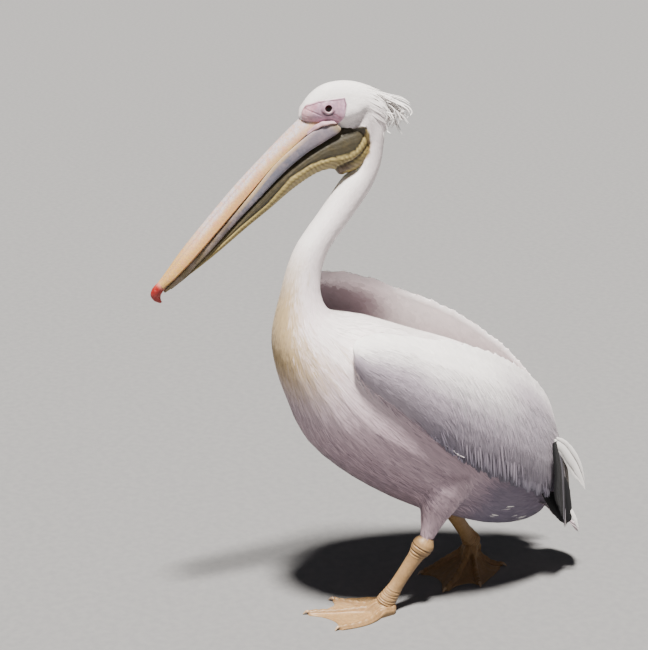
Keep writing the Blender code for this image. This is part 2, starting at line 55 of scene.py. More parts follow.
HEAD_TURN = 14.0  # degrees to the bird's right, about a vertical axis TURN_FWD forward
TURN_FWD = 14.0
SIDES = (("left", 1), ("right", -1))


def turned(fwd, side, z, turn=0.0):
    """Metres in the bird's own frame, before it is centred."""
    angle = math.radians(turn)
    reach = fwd - TURN_FWD
    x = side * math.cos(angle) - reach * math.sin(angle)
    y = -TURN_FWD - side * math.sin(angle) - reach * math.cos(angle)
    return Vector((x, y, z)) * CM


EYE = (21.2, 2.3, 95.9)
BILL_BASE, BILL_PITCH = (26.6, 93.2), math.radians(49.5)
low, high = (Vector(c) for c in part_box("eye_left"))
SHIFT = (low + high) / 2 - turned(*EYE, HEAD_TURN)
SHIFT.z = 0.0


def place(fwd, side, z, turn=0.0):
    return turned(fwd, side, z, turn) + SHIFT


def bird_frame(points):
    """(fwd, side, z) in centimetres of an array of points in the row frame."""
    p = np.asarray(points) - np.array(SHIFT)
    return -p[:, 1] * 100, p[:, 0] * 100, p[:, 2] * 100


def head_frame(points):
    """(fwd, side, z) in centimetres with the head's turn taken out."""
    fwd, side, z = bird_frame(points)
    a = math.radians(HEAD_TURN)
    reach = fwd - TURN_FWD
    return TURN_FWD + reach * math.cos(a) - side * math.sin(a), side * math.cos(a) + reach * math.sin(a), z


def smoothstep(low_edge, high_edge, v):
    t = np.clip((v - low_edge) / (high_edge - low_edge), 0, 1)
    return t * t * (3 - 2 * t)


def hump(x, width):
    """1 at x = 0, falling smoothly to each side."""
    return np.exp(-((x / width) ** 2))


# ---------------------------------------------------------------- camera, floor and light


def added(name, data):
    """A new object in the scene."""
    obj = bpy.data.objects.new(name, data)
    bpy.context.scene.collection.objects.link(obj)
    return obj


def aimed(obj, where, heading):
    obj.location = where
    obj.rotation_mode = "QUATERNION"
    obj.rotation_quaternion = Vector(heading).to_track_quat("-Z", "Y")


def build_camera():
    camera = added("camera", bpy.data.cameras.new("camera"))
    camera.data.lens, camera.data.sensor_width = 106.8, 36.0
    where, aim = Vector((3.0020, -1.5962, 1.6)), Vector((-0.0943, -0.1774, 0.5318))
    aimed(camera, where + SHIFT, aim - where)
    bpy.context.scene.camera = camera


def build_lamp(name, kind, energy, colour, where, heading, **look):
    data = bpy.data.lights.new(name, kind)
    data.energy, data.color = energy, colour
    for key, value in look.items():
        setattr(data, key, value)
    aimed(added(name, data), where, heading)


def build_light():
    """A high key light, a weak fill from the front and a dim sky."""
    build_lamp("key", "SUN", 14.0, (1.0, 0.955, 0.90), (0, 0, 0), (-0.29, 0.14, -1.0), angle=0.14)
    build_lamp("fill", "AREA", 3.0, (0.92, 0.93, 1.0), (3.2, -0.6, 1.1), (-3.2, 0.6, -0.6),
               shape="DISK", size=1.8)
    world = bpy.data.worlds.new("studio")
    world.use_nodes = True
    sky = world.node_tree.nodes["Background"].inputs
    sky["Color"].default_value, sky["Strength"].default_value = (0.78, 0.81, 0.88, 1), 0.10
    bpy.context.scene.world = world


def build_floor():
    mesh = bpy.data.meshes.new("floor")
    work = bmesh.new()
    bmesh.ops.create_grid(work, x_segments=1, y_segments=1, size=40)
    work.to_mesh(mesh)
    work.free()
    shade = Shade("floor", 0.75)
    shade.colour(shade.ramp(shade.noise(60, 6), [(0.3, (0.175, 0.175, 0.178)), (0.7, (0.195, 0.195, 0.195))]))
    mesh.materials.append(shade.material)
    floor = added("floor", mesh)


# ---------------------------------------------------------------- materials


class Shade:
    """A node material with short names for the nodes it uses."""

    def __init__(self, name, roughness, **sockets):
        self.material = bpy.data.materials.new(name)
        self.material.use_nodes = True
        self.tree = self.material.node_tree
        self.shader = self.tree.nodes["Principled BSDF"]
        self.shader.inputs["Roughness"].default_value = roughness
        for socket, value in sockets.items():
            self.shader.inputs[socket.replace("_", " ")].default_value = value
        self.where = self.tree.nodes.new("ShaderNodeTexCoord").outputs["Object"]

    def wire(self, value, socket):
        if isinstance(value, bpy.types.NodeSocket):
            self.tree.links.new(value, socket)
        elif isinstance(value, tuple) and len(value) == 3 and socket.type == "RGBA":
            socket.default_value = (*value, 1.0)
        else:
            socket.default_value = value

    def node(self, kind, inputs, output, **settings):
        """A new node's output. inputs maps each socket to its value or to the output wired to it."""
        node = self.tree.nodes.new("ShaderNode" + kind)
        for key, value in settings.items():
            setattr(node, key, value)
        for key, value in inputs.items():
            self.wire(value, node.inputs[key])
        return node.outputs[output]

    def noise(self, scale, detail=4, stretch=None, rough=0.55, where=None):
        where = where or self.where
        if stretch:
            where = self.node("Mapping", {"Vector": where, "Scale": stretch}, "Vector")
        inputs = {"Scale": scale, "Detail": detail, "Roughness": rough, "Vector": where}
        return self.node("TexNoise", inputs, "Fac")

    def cells(self, scale):
        inputs = {"Scale": scale, "Vector": self.where}
        return self.node("TexVoronoi", inputs, "Distance", feature="DISTANCE_TO_EDGE")

    def attribute(self, name, output="Fac"):
        return self.node("Attribute", {}, output, attribute_name=name)

    def vector(self, x, y, z):
        return self.node("CombineXYZ", {"X": x, "Y": y, "Z": z}, "Vector")

    def calc(self, op, a, b=0.0, c=0.0):
        return self.node("Math", {0: a, 1: b, 2: c}, "Value", operation=op)

    def ramp(self, factor, stops):
        node = self.tree.nodes.new("ShaderNodeValToRGB")
        node.color_ramp.interpolation = "EASE"
        while len(node.color_ramp.elements) < len(stops):
            node.color_ramp.elements.new(0.5)
        for element, (position, value) in zip(node.color_ramp.elements, stops):
            element.position = position
            element.color = (*value, 1.0) if isinstance(value, tuple) else (value, value, value, 1.0)
        self.wire(factor, node.inputs["Fac"])
        return node.outputs["Color"]

    def mix(self, factor, a, b, blend="MIX"):
        return self.node("Mix", {"Factor": factor, 6: a, 7: b}, 2, data_type="RGBA", blend_type=blend)

    def colour(self, value):
        self.wire(value, self.shader.inputs["Base Color"])

    def rough(self, value):
        self.wire(value, self.shader.inputs["Roughness"])

    def bump(self, height, strength, distance):
        """A bump laid over those already there."""
        normal = self.shader.inputs["Normal"]
        inputs = {"Strength": strength, "Distance": distance, "Height": height}
        if normal.links:
            inputs["Normal"] = normal.links[0].from_socket
        self.wire(self.node("Bump", inputs, "Normal"), normal)


# ---------------------------------------------------------------- mesh helpers


def piece(name, mesh, shade, replaced=()):
    """A finished piece of the model, riding on the one body."""
    obj = added(name, mesh)
    mesh.materials.append(shade.material)
    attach(obj, "root")
    if replaced:
        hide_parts(*replaced)
    return obj


def write_attribute(mesh, key, values):
    """One number or one colour for each vertex."""
    values = np.asarray(values, np.float32)
    if values.ndim == 2:
        values = np.concatenate([values, np.ones((len(values), 1), np.float32)], axis=1)
        mesh.attributes.new(key, "FLOAT_COLOR", "POINT").data.foreach_set("color", values.ravel())
    else:
        mesh.attributes.new(key, "FLOAT", "POINT").data.foreach_set("value", values)


def grid_mesh(name, grids, wrap=False, attributes=None, uv=None):
    """One mesh from an array of grids of points, shaped (count, rows, columns, 3). wrap joins the last column
    to the first. attributes maps names to arrays of numbers that spread over (count, rows, columns), or of
    colours, shaped like the points."""
    grids = np.asarray(grids, np.float32)
    count, rows, columns, _ = grids.shape
    index = np.arange(count * rows * columns, dtype=np.int32).reshape(count, rows, columns)
    if wrap:
        index = np.concatenate([index, index[:, :, :1]], axis=2)
    quads = np.stack([index[:, :-1, :-1], index[:, :-1, 1:], index[:, 1:, 1:], index[:, 1:, :-1]], axis=-1)
    quads = quads.reshape(-1, 4)
    mesh = bpy.data.meshes.new(name)
    mesh.vertices.add(count * rows * columns)
    mesh.vertices.foreach_set("co", grids.ravel())
    mesh.loops.add(quads.size)
    mesh.loops.foreach_set("vertex_index", quads.ravel())
    mesh.polygons.add(len(quads))
    mesh.polygons.foreach_set("loop_start", np.arange(len(quads), dtype=np.int32) * 4)
    mesh.update(calc_edges=True)
    for key, values in (attributes or {}).items():
        if values.ndim == 4:
            write_attribute(mesh, key, values.reshape(-1, 3))
        else:
            write_attribute(mesh, key, np.broadcast_to(values, (count, rows, columns)).ravel())
    if uv is not None:
        layer = mesh.uv_layers.new(name="OFBake")
        layer.data.foreach_set("uv", uv.reshape(-1, 2)[quads.ravel()].astype(np.float32).ravel())
    mesh.shade_smooth()
    return mesh


def tube(name, rings, tints, shade, replaced=(), caps=True):
    """A piece that is a closed tube through rings of points, shaped (rows, columns, 3), a colour at each."""
    rings, tints = np.asarray(rings, np.float32), np.array(tints)
    if caps:
        ends = [rings[i].mean(0) + (rings[i] - rings[i].mean(0)) * 0.02 for i in (0, -1)]
        rings = np.concatenate([ends[:1], rings, ends[1:]])
        tints = np.concatenate([tints[:1], tints, tints[-1:]])
    return piece(name, grid_mesh(name, rings[None], True, {"tint": tints[None]}), shade, replaced)


def curve_through(rows, steps):
    """Catmull-Rom rows between the given ones, steps to each gap."""
    rows = np.asarray(rows, float)
    padded = np.concatenate([rows[:1], rows, rows[-1:]])
    t = np.arange(steps) / steps
    weights = np.stack([-0.5 * t + t**2 - 0.5 * t**3, 1 - 2.5 * t**2 + 1.5 * t**3,
                        0.5 * t + 2 * t**2 - 1.5 * t**3, -0.5 * t**2 + 0.5 * t**3])
    found = [weights.T @ padded[i:i + 4] for i in range(len(rows) - 1)]
    return np.concatenate([*found, rows[-1:]])


# ---------------------------------------------------------------- markings

# The bare face: its outline on the head's side, (fwd, z); and the bare skin of the throat beside the pouch.
FACE = [(26.8, 94.7), (25.0, 96.4), (22.9, 97.2), (18.3, 97.8), (18.0, 96.6), (18.5, 94.2), (19.6, 92.6),
        (22.3, 91.6), (24.0, 92.0), (25.9, 93.4)]
THROAT = [(19.4, 92.3), (17.7, 91.7), (16.3, 92.1), (15.5, 92.5), (14.4, 92.5), (13.8, 91.0), (13.5, 89.2),
          (13.7, 87.6), (14.8, 86.1), (16.3, 84.9), (17.4, 83.9), (18.6, 83.0), (19.8, 82.2), (23.0, 86.0),
          (23.0, 92.0)]
# The coat's colours, in order: white, blush, a pink darkened in part as painted shade, ochre, a silver grey
# darkened in part as painted shade, and three painted shades: bluish for the wing's lower part, mauve for the
# underparts, grey for the cheek's hollow.
WHITE, BLUSH, PINK_AND_SHADE, OCHRE, SILVER_AND_SHADE, HEM_SHADE, UNDERPARTS_SHADE, CHEEK_HOLLOW_SHADE = np.array([
    (0.86, 0.83, 0.81), (0.84, 0.70, 0.74), (0.52, 0.37, 0.43), (0.47, 0.335, 0.155), (0.385, 0.325, 0.385),
    (0.132, 0.113, 0.162), (0.13, 0.09, 0.125), (0.34, 0.30, 0.31)])
# The first is painted bluish shade for the rump under the wing's hem; the last is painted shade for the far
# wing's inner face.
RUMP_SHADE, REAR_GREY, INNER_SHADE = (0.10, 0.09, 0.145), (0.235, 0.205, 0.225), (0.27, 0.19, 0.215)
# The full cheek behind the bare face, and the hollow between it and the neck, which also gets painted shade:
# fwd, z, how wide, how far out.
JOWL = [(18.4, 94.4, 1.5, 0.35), (16.8, 95.4, 1.5, 0.3), (17.3, 92.4, 0.9, -0.4), (16.2, 93.0, 0.9, -0.6),
        (15.2, 93.8, 0.9, -0.6), (14.5, 94.9, 0.9, -0.4)]


def inside_distance(x, y, outline):
    """How far inside (positive) or outside the outline each point is."""
    outline = np.asarray(outline, float)
    nearest = np.full(len(x), 1e9)
    inside = np.zeros(len(x), bool)
    for (x0, y0), (x1, y1) in zip(outline, np.roll(outline, -1, axis=0)):
        dx, dy = x1 - x0, y1 - y0
        t = np.clip(((x - x0) * dx + (y - y0) * dy) / (dx * dx + dy * dy), 0, 1)
        nearest = np.minimum(nearest, np.hypot(x - x0 - t * dx, y - y0 - t * dy))
        crosses = (y0 > y) != (y1 > y)
        with np.errstate(divide="ignore", invalid="ignore"):
            inside ^= crosses & (x < dx * (y - y0) / dy + x0)
    return np.where(inside, nearest, -nearest)


def bare_face(points):
    """0 to 1: how much of each point lies in the bare skin round the eye."""
    fwd, side, z = head_frame(points)
    return smoothstep(-0.12, 0.12, inside_distance(fwd, z, FACE)) * smoothstep(0.9, 1.6, np.abs(side))


def bare_throat(points, margin=0.0):
    fwd, _, z = head_frame(points)
    return smoothstep(-0.12, 0.12, inside_distance(fwd, z, THROAT) + margin)


# The folded wing's top edge (fwd, z), its hem (fwd, side, z), and how far the right wing is raised (fwd, by).
WING_TOP = [(22, 55.6), (21, 57), (18, 57.6), (13, 57), (7, 55.2), (1, 53.6), (-5, 51.4), (-11, 48.4),
            (-17, 44.4), (-22, 39.8), (-24.8, 35.6), (-26.8, 30.2)]
WING_HEM = [(22, 11.8, 51.6), (21, 12.2, 49.6), (18, 13, 46.4), (13, 13.6, 42.6), (7, 13.9, 36.8),
            (1, 13.8, 32), (-5, 13.2, 28.4), (-11, 12, 25), (-17, 10.2, 21.8), (-22, 8.2, 19.2),
            (-24.8, 6.8, 18.6), (-26.8, 5, 19.2)]
RIGHT_LIFT = [(22, 6.4), (8, 6.2), (1.5, 4.8), (-4, 4.3), (-9, 4.0), (-16, 3.1), (-22, 1.8), (-30, 0.3)]


def lookup(rows, fwd, column=1):
    """The value in that column of rows that start with fwd, in falling order."""
    table = np.array(rows[::-1], float)
    return np.interp(fwd, table[:, 0], table[:, column])


def down_the_wing(points):
    """0 at the wing's top edge, 1 at its hem."""
    fwd, side, z = bird_frame(points)
    z = z - np.where(side < 0, lookup(RIGHT_LIFT, fwd), 0)
    top, hem = lookup(WING_TOP, fwd), lookup(WING_HEM, fwd, 2)
    return (top - z) / (top - hem)


def markings(points, normals, wing):
    """The coat's and the skin's colour at each point, with painted shade on the underparts, the rump, the
    cheek's hollow, down the outer wing and on the far wing's inner face.
    """
    fwd, side, z = bird_frame(points)
    n = np.asarray(normals)
    colour = np.tile(WHITE, (len(fwd), 1))

    def lay(over, amount):
        nonlocal colour
        colour = colour + (over - colour) * np.clip(amount, 0, 1)[:, None]

    body = 1 - wing
    up, under = smoothstep(0.1, 0.7, n[:, 2]), smoothstep(0.0, 0.9, -n[:, 2])
    lay(BLUSH, body * (0.5 + 0.5 * smoothstep(72, 56, z)) * smoothstep(100, 92, z) * (1 - 0.8 * up))
    # the lower body's pink, part its own colour and part painted shade: darker than the pink itself, and
    # weaker where the skin faces up so the flank under the wing stays shaded
    lay(PINK_AND_SHADE, smoothstep(56, 36, z) * 0.9 * body * (1 - 0.6 * up))
    # painted shade, mauve, on the body where the skin faces down
    lay(UNDERPARTS_SHADE, under * 0.9 * body * smoothstep(58, 44, z))
    # painted bluish shade on the rump under the wing's hem
    lay(RUMP_SHADE, smoothstep(2, -9, fwd) * smoothstep(32, 22, z) * 0.8 * body)
    front = smoothstep(-0.15, 0.7, -n[:, 1] - 0.28 * np.abs(n[:, 0]))
    band = smoothstep(43.5, 54, z) * smoothstep(74, 62, z)
    lay(OCHRE, front * band * smoothstep(11, 7, np.abs(side)) * 0.95 * body)
    # painted shade in the hollow between the cheek and the neck
    cheek, _, height = head_frame(points)
    for f, h, wide, out in JOWL:
        if out < 0:
            near = hump(np.hypot(cheek - f, height - h), wide)
            lay(CHEEK_HOLLOW_SHADE, 0.45 * near * (np.abs(side) > 1.2))
    down = down_the_wing(points)
    outer = smoothstep(-0.45, -0.05, n[:, 0] * np.sign(side))
    # silver grey down the outer wing, part its own grey and part painted shade that deepens towards the hem
    lay(SILVER_AND_SHADE, wing * outer * smoothstep(0.1, 0.5, down))
    lay(SILVER_AND_SHADE * 0.9, wing * outer * smoothstep(-3, -16, fwd) * smoothstep(-0.05, 0.2, down) * 0.9)
    lay(REAR_GREY, wing * outer * smoothstep(-12, -24, fwd) * smoothstep(0.0, 0.3, down) * 0.45)
    # painted bluish shade on the outer wing's lower part, fading out towards the front
    lay(HEM_SHADE, wing * outer * smoothstep(0.5, 1.0, down) * smoothstep(16, 4, fwd) * 0.9)
    hollow = wing * (1 - outer) * smoothstep(0, 11, fwd)
    lay(BLUSH, wing * (1 - outer) * 0.3 + hollow * 0.5)
    lay(INNER_SHADE, hollow * smoothstep(0.08, 0.32, down) * 0.9)
    lay(BLUSH, wing * smoothstep(-18, -25, fwd) * smoothstep(0.6, 0.3, down) * 0.2)
    return colour


# ---------------------------------------------------------------- skin

# The nodes of flesh, and how deep the coat is over each, in centimetres.
COAT = {"head": 0.22, "neck_upper": 0.3, "neck_middle": 0.35, "neck_lower": 0.45, "breast": 0.6, "trunk": 0.6,
        "rump": 0.6, "thigh_left": 0.4, "thigh_right": 0.4, "wing_left": 0.35, "wing_right": 0.35}
FLESH = list(COAT)


def joined(names, name):
    """A mesh of the named CAD nodes, and the name of the node each of its faces comes from."""
    work = bmesh.new()
    owners = []
    for node in names:
        work.from_mesh(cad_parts[node].data)
        owners += [node] * (len(work.faces) - len(owners))
    mesh = bpy.data.meshes.new(name)
    work.to_mesh(mesh)
    work.free()
    return mesh, owners


def arrays(mesh):
    """(points, normals, face centres, face normals, face areas) of a mesh."""
    def read(items, key, width):
        found = np.empty(len(items) * width, np.float32)
        items.foreach_get(key, found)
        return found.reshape(-1, width) if width > 1 else found

    faces = mesh.polygons
    return (read(mesh.vertices, "co", 3), read(mesh.vertex_normals, "vector", 3),
            read(faces, "center", 3), read(faces, "normal", 3), read(faces, "area", 1))


def surface(points, mesh):
    """A search tree of the mesh's faces, with its vertices at those points."""
    return BVHTree.FromPolygons([Vector(p) for p in points], [p.vertices[:] for p in mesh.polygons])


VOXEL = 0.004
SHARE_OF_FLESH = 0.28  # how much of the flesh's thickness the coat may take up
EYE_RINGS = (0.075, 0.055, 0.02)  # within each of these distances of an eye, the skin is twice as fine again
# How far out the skin is at each distance from the eye's middle: socket, rim and the ring round it.
LID = [(0, 2.1), (0.5, 2.4), (0.58, 2.86), (0.63, 3.05), (0.69, 3.12), (0.77, 3.12), (0.88, 3.07),
       (1.0, 3.03), (1.3, 3.06), (1.6, 3.07)]
# Folds of the bare face: slope, height from the eye's middle where they pass it, depth.
FOLDS = [(-0.12, 1.55, 0.05), (0.42, -1.75, 0.08), (0.3, -2.6, 0.05), (0.75, -0.2, 0.04)]


class Skin:
    """The one skin under the coat: its surface, which region each face is in, and the coat's lie."""

    def __init__(self):
        source, owners = joined(FLESH, "flesh")
        tree = surface(arrays(source)[0], source)
        self.mesh = self.remeshed(source)
        points, normals, *_ = arrays(self.mesh)
        depth = self.evened(np.array([COAT[owners[tree.find_nearest(Vector(p))[2]]] for p in points]), 60)
        depth = np.minimum(depth, self.thin(points, normals))
        bare = np.maximum(bare_face(points), bare_throat(points))
        depth = depth * (1 - bare) + 0.05 * bare
        points = self.lidded(points - normals * (depth * CM)[:, None])
        self.mesh.vertices.foreach_set("co", points.ravel())
        self.mesh.update()
        self.points, self.normals, self.centres, self.face_normals, self.areas = arrays(self.mesh)
        hits = [tree.find_nearest(Vector(p)) for p in self.centres]
        self.owner = np.array([owners[h[2]] for h in hits])
        self.wing = np.char.startswith(self.owner.astype(str), "wing")
        self.tree = surface(self.points, self.mesh)
        self.flow = self.lie()

    def thin(self, points, normals):
        """How deep the coat may be where the flesh is thin, in centimetres: a share of its thickness."""
        tree = surface(points, self.mesh)
        limit = np.full(len(points), 1.0)
        for i, (p, n) in enumerate(zip(points, normals)):
            away = tree.ray_cast(Vector(p - n * 0.0004), Vector(-n), 0.03)[3]
            if away is not None:
                limit[i] = away * 100 * SHARE_OF_FLESH
        a, b = self.edges()
        for _ in range(4):
            least = limit.copy()
            np.minimum.at(least, a, limit[b])
            np.minimum.at(least, b, limit[a])
            limit = least
        return self.evened(limit, 12)

    def edges(self):
        ends = np.empty(len(self.mesh.edges) * 2, np.int32)
        self.mesh.edges.foreach_get("vertices", ends)
        return ends.reshape(-1, 2).T

    def evened(self, values, rounds):
        """Values at the vertices, each drawn towards its neighbours' mean again and again."""
        a, b = self.edges()
        count = (np.bincount(a, minlength=len(values)) + np.bincount(b, minlength=len(values))).clip(1)
        for _ in range(rounds):
            values = (np.bincount(a, values[b], len(values)) + np.bincount(b, values[a], len(values))) / count
        return values

    @staticmethod
    def lidded(points):
        """The points with the skin round each eye drawn into a socket, a rim and a fold beneath it."""
        fwd, side, z = head_frame(points)
        reach = np.hypot(fwd - EYE[0], z - EYE[2])
        near = np.abs(side) > 1.2
        profile = np.interp(reach, *zip(*LID))
        blend = smoothstep(1.5, 0.95, reach) * near
        level = np.abs(side) * (1 - blend) + profile * blend
        below = smoothstep(0.3, 0.9, (EYE[2] - z) / (reach + 1e-6)) * near
        level -= 0.09 * hump(reach - 1.17, 0.1) * below
        level += 0.05 * hump(reach - 1.42, 0.14) * below
        for tilt, at, deep in FOLDS:
            line = (z - EYE[2]) - (at + tilt * (fwd - EYE[0]))
            span = smoothstep(1.25, 1.9, reach) * smoothstep(6.5, 3.5, np.abs(fwd - EYE[0]))
            level -= deep * hump(line, 0.13) * span * near * bare_face(points)
        level += relief(*along_bill(fwd, z)) * bare_throat(points)
        cheek = smoothstep(1.2, 2.0, np.abs(side))
        for f, h, wide, out in JOWL:
            level += out * hump(np.hypot(fwd - f, z - h), wide) * cheek
        angle = math.radians(HEAD_TURN)
        change = (level - np.abs(side)) * np.sign(side) * CM
        moved = np.array(points)
        moved[:, 0] += change * math.cos(angle)
        moved[:, 1] -= change * math.sin(angle)
        return moved

    @staticmethod
    def remeshed(source):
        """The flesh as one smooth surface, finer round the eyes."""
        obj = added("flesh", source)
        remesh = obj.modifiers.new("remesh", "REMESH")
        remesh.mode, remesh.voxel_size, remesh.use_smooth_shade = "VOXEL", VOXEL, True
        soften = obj.modifiers.new("soften", "SMOOTH")
        soften.factor, soften.iterations = 0.5, 5
        mesh = bpy.data.meshes.new_from_object(obj.evaluated_get(bpy.context.evaluated_depsgraph_get()))
        bpy.data.objects.remove(obj)
        work = bmesh.new()
        work.from_mesh(mesh)
        eyes = [place(EYE[0], side * 3.0, EYE[2], HEAD_TURN) for side in (1, -1)]

        def to_eye(edge):
            middle = (edge.verts[0].co + edge.verts[1].co) / 2
            return min((middle - eye).length for eye in eyes)

        for near in EYE_RINGS:
            fine = [e for e in work.edges if to_eye(e) < near]
            bmesh.ops.subdivide_edges(work, edges=fine, cuts=1, use_grid_fill=True, smooth=0.3)
        work.to_mesh(mesh)
        work.free()
        mesh.shade_smooth()
        return mesh

    def lie(self):
        """The direction the coat lies in at each face, blended from named guides."""
        guides = np.array([g for row in LIE for g in self.both_sides(row)])
        at = np.array([place(*g[0:3]) for g in guides])
        way = np.stack([guides[:, 4], -guides[:, 3], guides[:, 5]], axis=1)
        way /= np.linalg.norm(way, axis=1)[:, None]
        on_wing = guides[:, 6] > 0
        flow = np.zeros_like(self.centres)
        for kind in (True, False):
            faces = np.where(self.wing == kind)[0]
            own = np.where(on_wing == kind)[0]
            for start in range(0, len(faces), 20000):
                some = faces[start:start + 20000]
                gap = ((self.centres[some][:, None] - at[own][None]) ** 2).sum(2) + 1e-5
                flow[some] = (gap**-2.0) @ way[own]
        flow -= self.face_normals * (flow * self.face_normals).sum(1)[:, None]
        return flow / (np.linalg.norm(flow, axis=1)[:, None] + 1e-9)

    @staticmethod
    def both_sides(row):
        fwd, side, z, dfwd, dside, dz, wing = row
        return [row, (fwd, -side, z + (RIGHT_RISE if wing else 0.0), dfwd, -dside, dz, wing)]

    def finish(self):
        """The skin as a piece, coloured like the coat."""
        wing = np.zeros(len(self.points))
        loops = np.empty(len(self.mesh.loops), np.int32)
        self.mesh.loops.foreach_get("vertex_index", loops)
        sides = np.array([p.loop_total for p in self.mesh.polygons])
        np.maximum.at(wing, loops, np.repeat(self.wing.astype(float), sides))
        tint = markings(self.points, self.normals, wing)
        face, throat = bare_face(self.points), bare_throat(self.points)
        fwd, _, z = head_frame(self.points)
        reach = np.hypot(fwd - EYE[0], z - EYE[2])
        tint = tint + (sac_tint(*along_bill(fwd, z)) - tint) * throat[:, None]
        lores = np.hypot((fwd - 25.6) / 1.6, z - 93.6)
        bare = blend([(0.53, 0.345, 0.45), (0.58, 0.37, 0.41), (0.44, 0.29, 0.34)],
                     [smoothstep(22.5, 25.5, fwd), smoothstep(1.1, 0.3, lores) * 0.7])
        rim = hump(inside_distance(fwd, z, FACE) - 0.2, 0.13) * smoothstep(95.0, 96.5, z)
        below = smoothstep(0.2, 0.8, (EYE[2] - z) / (reach + 1e-6))
        ring = smoothstep(0.95, 0.78, reach) * smoothstep(0.58, 0.66, reach)
        # painted shade, near black, in the fold under the eye
        fold = hump(reach - 1.18, 0.19) * below
        bare = blend([bare, (0.10, 0.045, 0.07), (0.72, 0.54, 0.57), (0.018, 0.008, 0.015)],
                     [rim * 0.85, ring * (0.1 + 0.9 * below), fold * 0.95])
        tint = tint + (bare - tint) * face[:, None]
        write_attribute(self.mesh, "tint", tint)
        write_attribute(self.mesh, "bare", np.maximum(face, throat))
        piece("skin", self.mesh, skin_shade(), FLESH)


# The pouch's olive, darker than its own colour by painted shade under the jaw, and its yellow.
OLIVE_AND_SHADE = np.array((0.042, 0.034, 0.017))
YELLOW = np.array((0.34, 0.265, 0.095))


def skin_shade():
    shade = Shade("skin", 0.62, Subsurface_Weight=0.1, Subsurface_Scale=0.01)
    shade.shader.inputs["Subsurface Radius"].default_value = (1.0, 0.4, 0.3)
    tint, bare = shade.attribute("tint", "Color"), shade.attribute("bare")
    blotch = shade.ramp(shade.noise(170, 6), [(0.35, (0.80, 0.74, 0.76)), (0.65, (1.08, 1.04, 1.02))])
    vein = shade.ramp(shade.noise(60, 3), [(0.52, (1.0, 1.0, 1.0)), (0.68, (1.03, 0.86, 0.88))])
    marked = shade.mix(1.0, shade.mix(1.0, tint, blotch, "MULTIPLY"), vein, "MULTIPLY")
    shade.colour(shade.mix(bare, tint, marked))
    shade.rough(shade.ramp(bare, [(0.0, 0.7), (1.0, 0.5)]))
    shade.bump(shade.cells(520), 0.3, 0.0003)
    shade.bump(shade.noise(230, 6, (1, 1, 2.6)), 0.45, 0.0006)
    return shade


RIGHT_RISE = 4.0  # how far the right wing's guides are above the left's
# The lie of the coat: where (fwd, side, z), which way the tips point (fwd, side, z), and 1 on the wing.
LIE = [
    (26, 1, 95, -0.2, 0.1, 1, 0), (23, 1, 99, -0.8, 0, 0.5, 0), (18, 1, 100.5, -1, 0, 0, 0),
    (13, 1, 99.5, -0.8, 0, -0.6, 0), (10.5, 1, 97, -0.3, 0, -1, 0), (18, 3, 92.5, -0.85, 0, -0.25, 0),
    (14, 3, 95, -0.75, 0, -0.5, 0), (15, 2.5, 90, -0.15, 0, -1, 0), (12.5, 1, 87, 0, 0, -1, 0),
    (14, 1, 83, 0.3, 0, -1, 0), (17, 1, 79, 0.6, 0, -0.8, 0), (21, 1, 75.5, 0.65, 0, -0.75, 0),
    (24, 1, 71.5, 0.45, 0, -0.9, 0), (26, 2, 66, 0.1, 0, -1, 0), (27, 3, 61, -0.1, 0.1, -1, 0),
    (31.5, 1, 58, 0, 0, -1, 0), (31.5, 1, 52, -0.15, 0, -1, 0), (29.5, 1, 44, -0.4, 0, -0.9, 0),
    (26, 1, 36, -0.6, 0, -0.75, 0), (20, 1, 29, -0.8, 0, -0.55, 0), (12, 1, 23.5, -0.85, 0, -0.5, 0),
    (4, 1, 18.5, -0.9, 0, -0.4, 0), (-4, 1, 14.5, -0.95, 0, -0.3, 0), (-12, 1, 12, -1, 0, -0.1, 0),
    (-20, 1, 11, -1, 0, 0.05, 0), (26, 6, 57, -0.45, 0.3, -0.85, 0), (25, 9, 50, -0.6, 0.1, -0.8, 0),
    (20, 12, 43, -0.68, 0, -0.72, 0), (15, 12.5, 36, -0.72, 0, -0.68, 0), (10, 12, 30, -0.76, 0, -0.64, 0),
    (4, 11, 25, -0.8, 0, -0.58, 0), (-4, 10, 20, -0.85, 0, -0.5, 0), (-14, 8, 16, -0.95, -0.1, -0.25, 0),
    (21, 6, 59, -0.9, 0.3, -0.4, 0), (12, 8, 56, -1, 0.1, -0.3, 0), (15, 1, 58.5, -1, 0, -0.15, 0),
    (5, 2, 55, -1, 0, -0.4, 0), (-5, 2, 51, -0.9, 0, -0.45, 0), (-12, 2, 47, -0.85, 0, -0.55, 0),
    (-19, 1, 41, -0.7, 0, -0.75, 0), (-25, 1, 32, -0.45, 0, -0.9, 0), (1, 8, 24, -0.35, 0, -0.95, 0),
    (4, 7, 16, -0.25, 0, -1, 0), (-5, 7, 16, -0.3, 0, -1, 0),
    (21, 13, 54, -0.8, 0, -0.6, 1), (18, 14, 50, -0.82, 0, -0.58, 1), (13, 14.5, 44, -0.72, 0, -0.7, 1),
    (18, 13.2, 46.9, -0.76, 0, -0.65, 1), (12, 14, 42.2, -0.74, 0, -0.68, 1), (8, 15, 39, -0.56, 0, -0.83, 1),
    (8, 15, 47, -0.5, 0, -0.86, 1), (13, 14.5, 53, -0.75, 0, -0.6, 1),
    (10, 11, 56.5, -0.85, 0.4, -0.3, 1), (0, 11, 53, -0.7, 0.5, -0.55, 1), (-8, 10, 49, -0.6, 0.4, -0.7, 1),
    (0, 15, 45, -0.3, 0, -0.95, 1), (0, 14.5, 37, -0.22, 0, -0.97, 1), (-8, 14, 40, -0.25, 0, -0.97, 1),
    (-8, 13.5, 31, -0.18, 0, -0.98, 1), (-16, 11.5, 35, -0.35, -0.05, -0.93, 1),
    (-16, 11, 25, -0.22, 0, -0.97, 1), (-22, 8, 32, -0.45, -0.2, -0.85, 1),
    (-26, 5, 27, -0.3, -0.15, -0.93, 1),
]


# ---------------------------------------------------------------- feathers


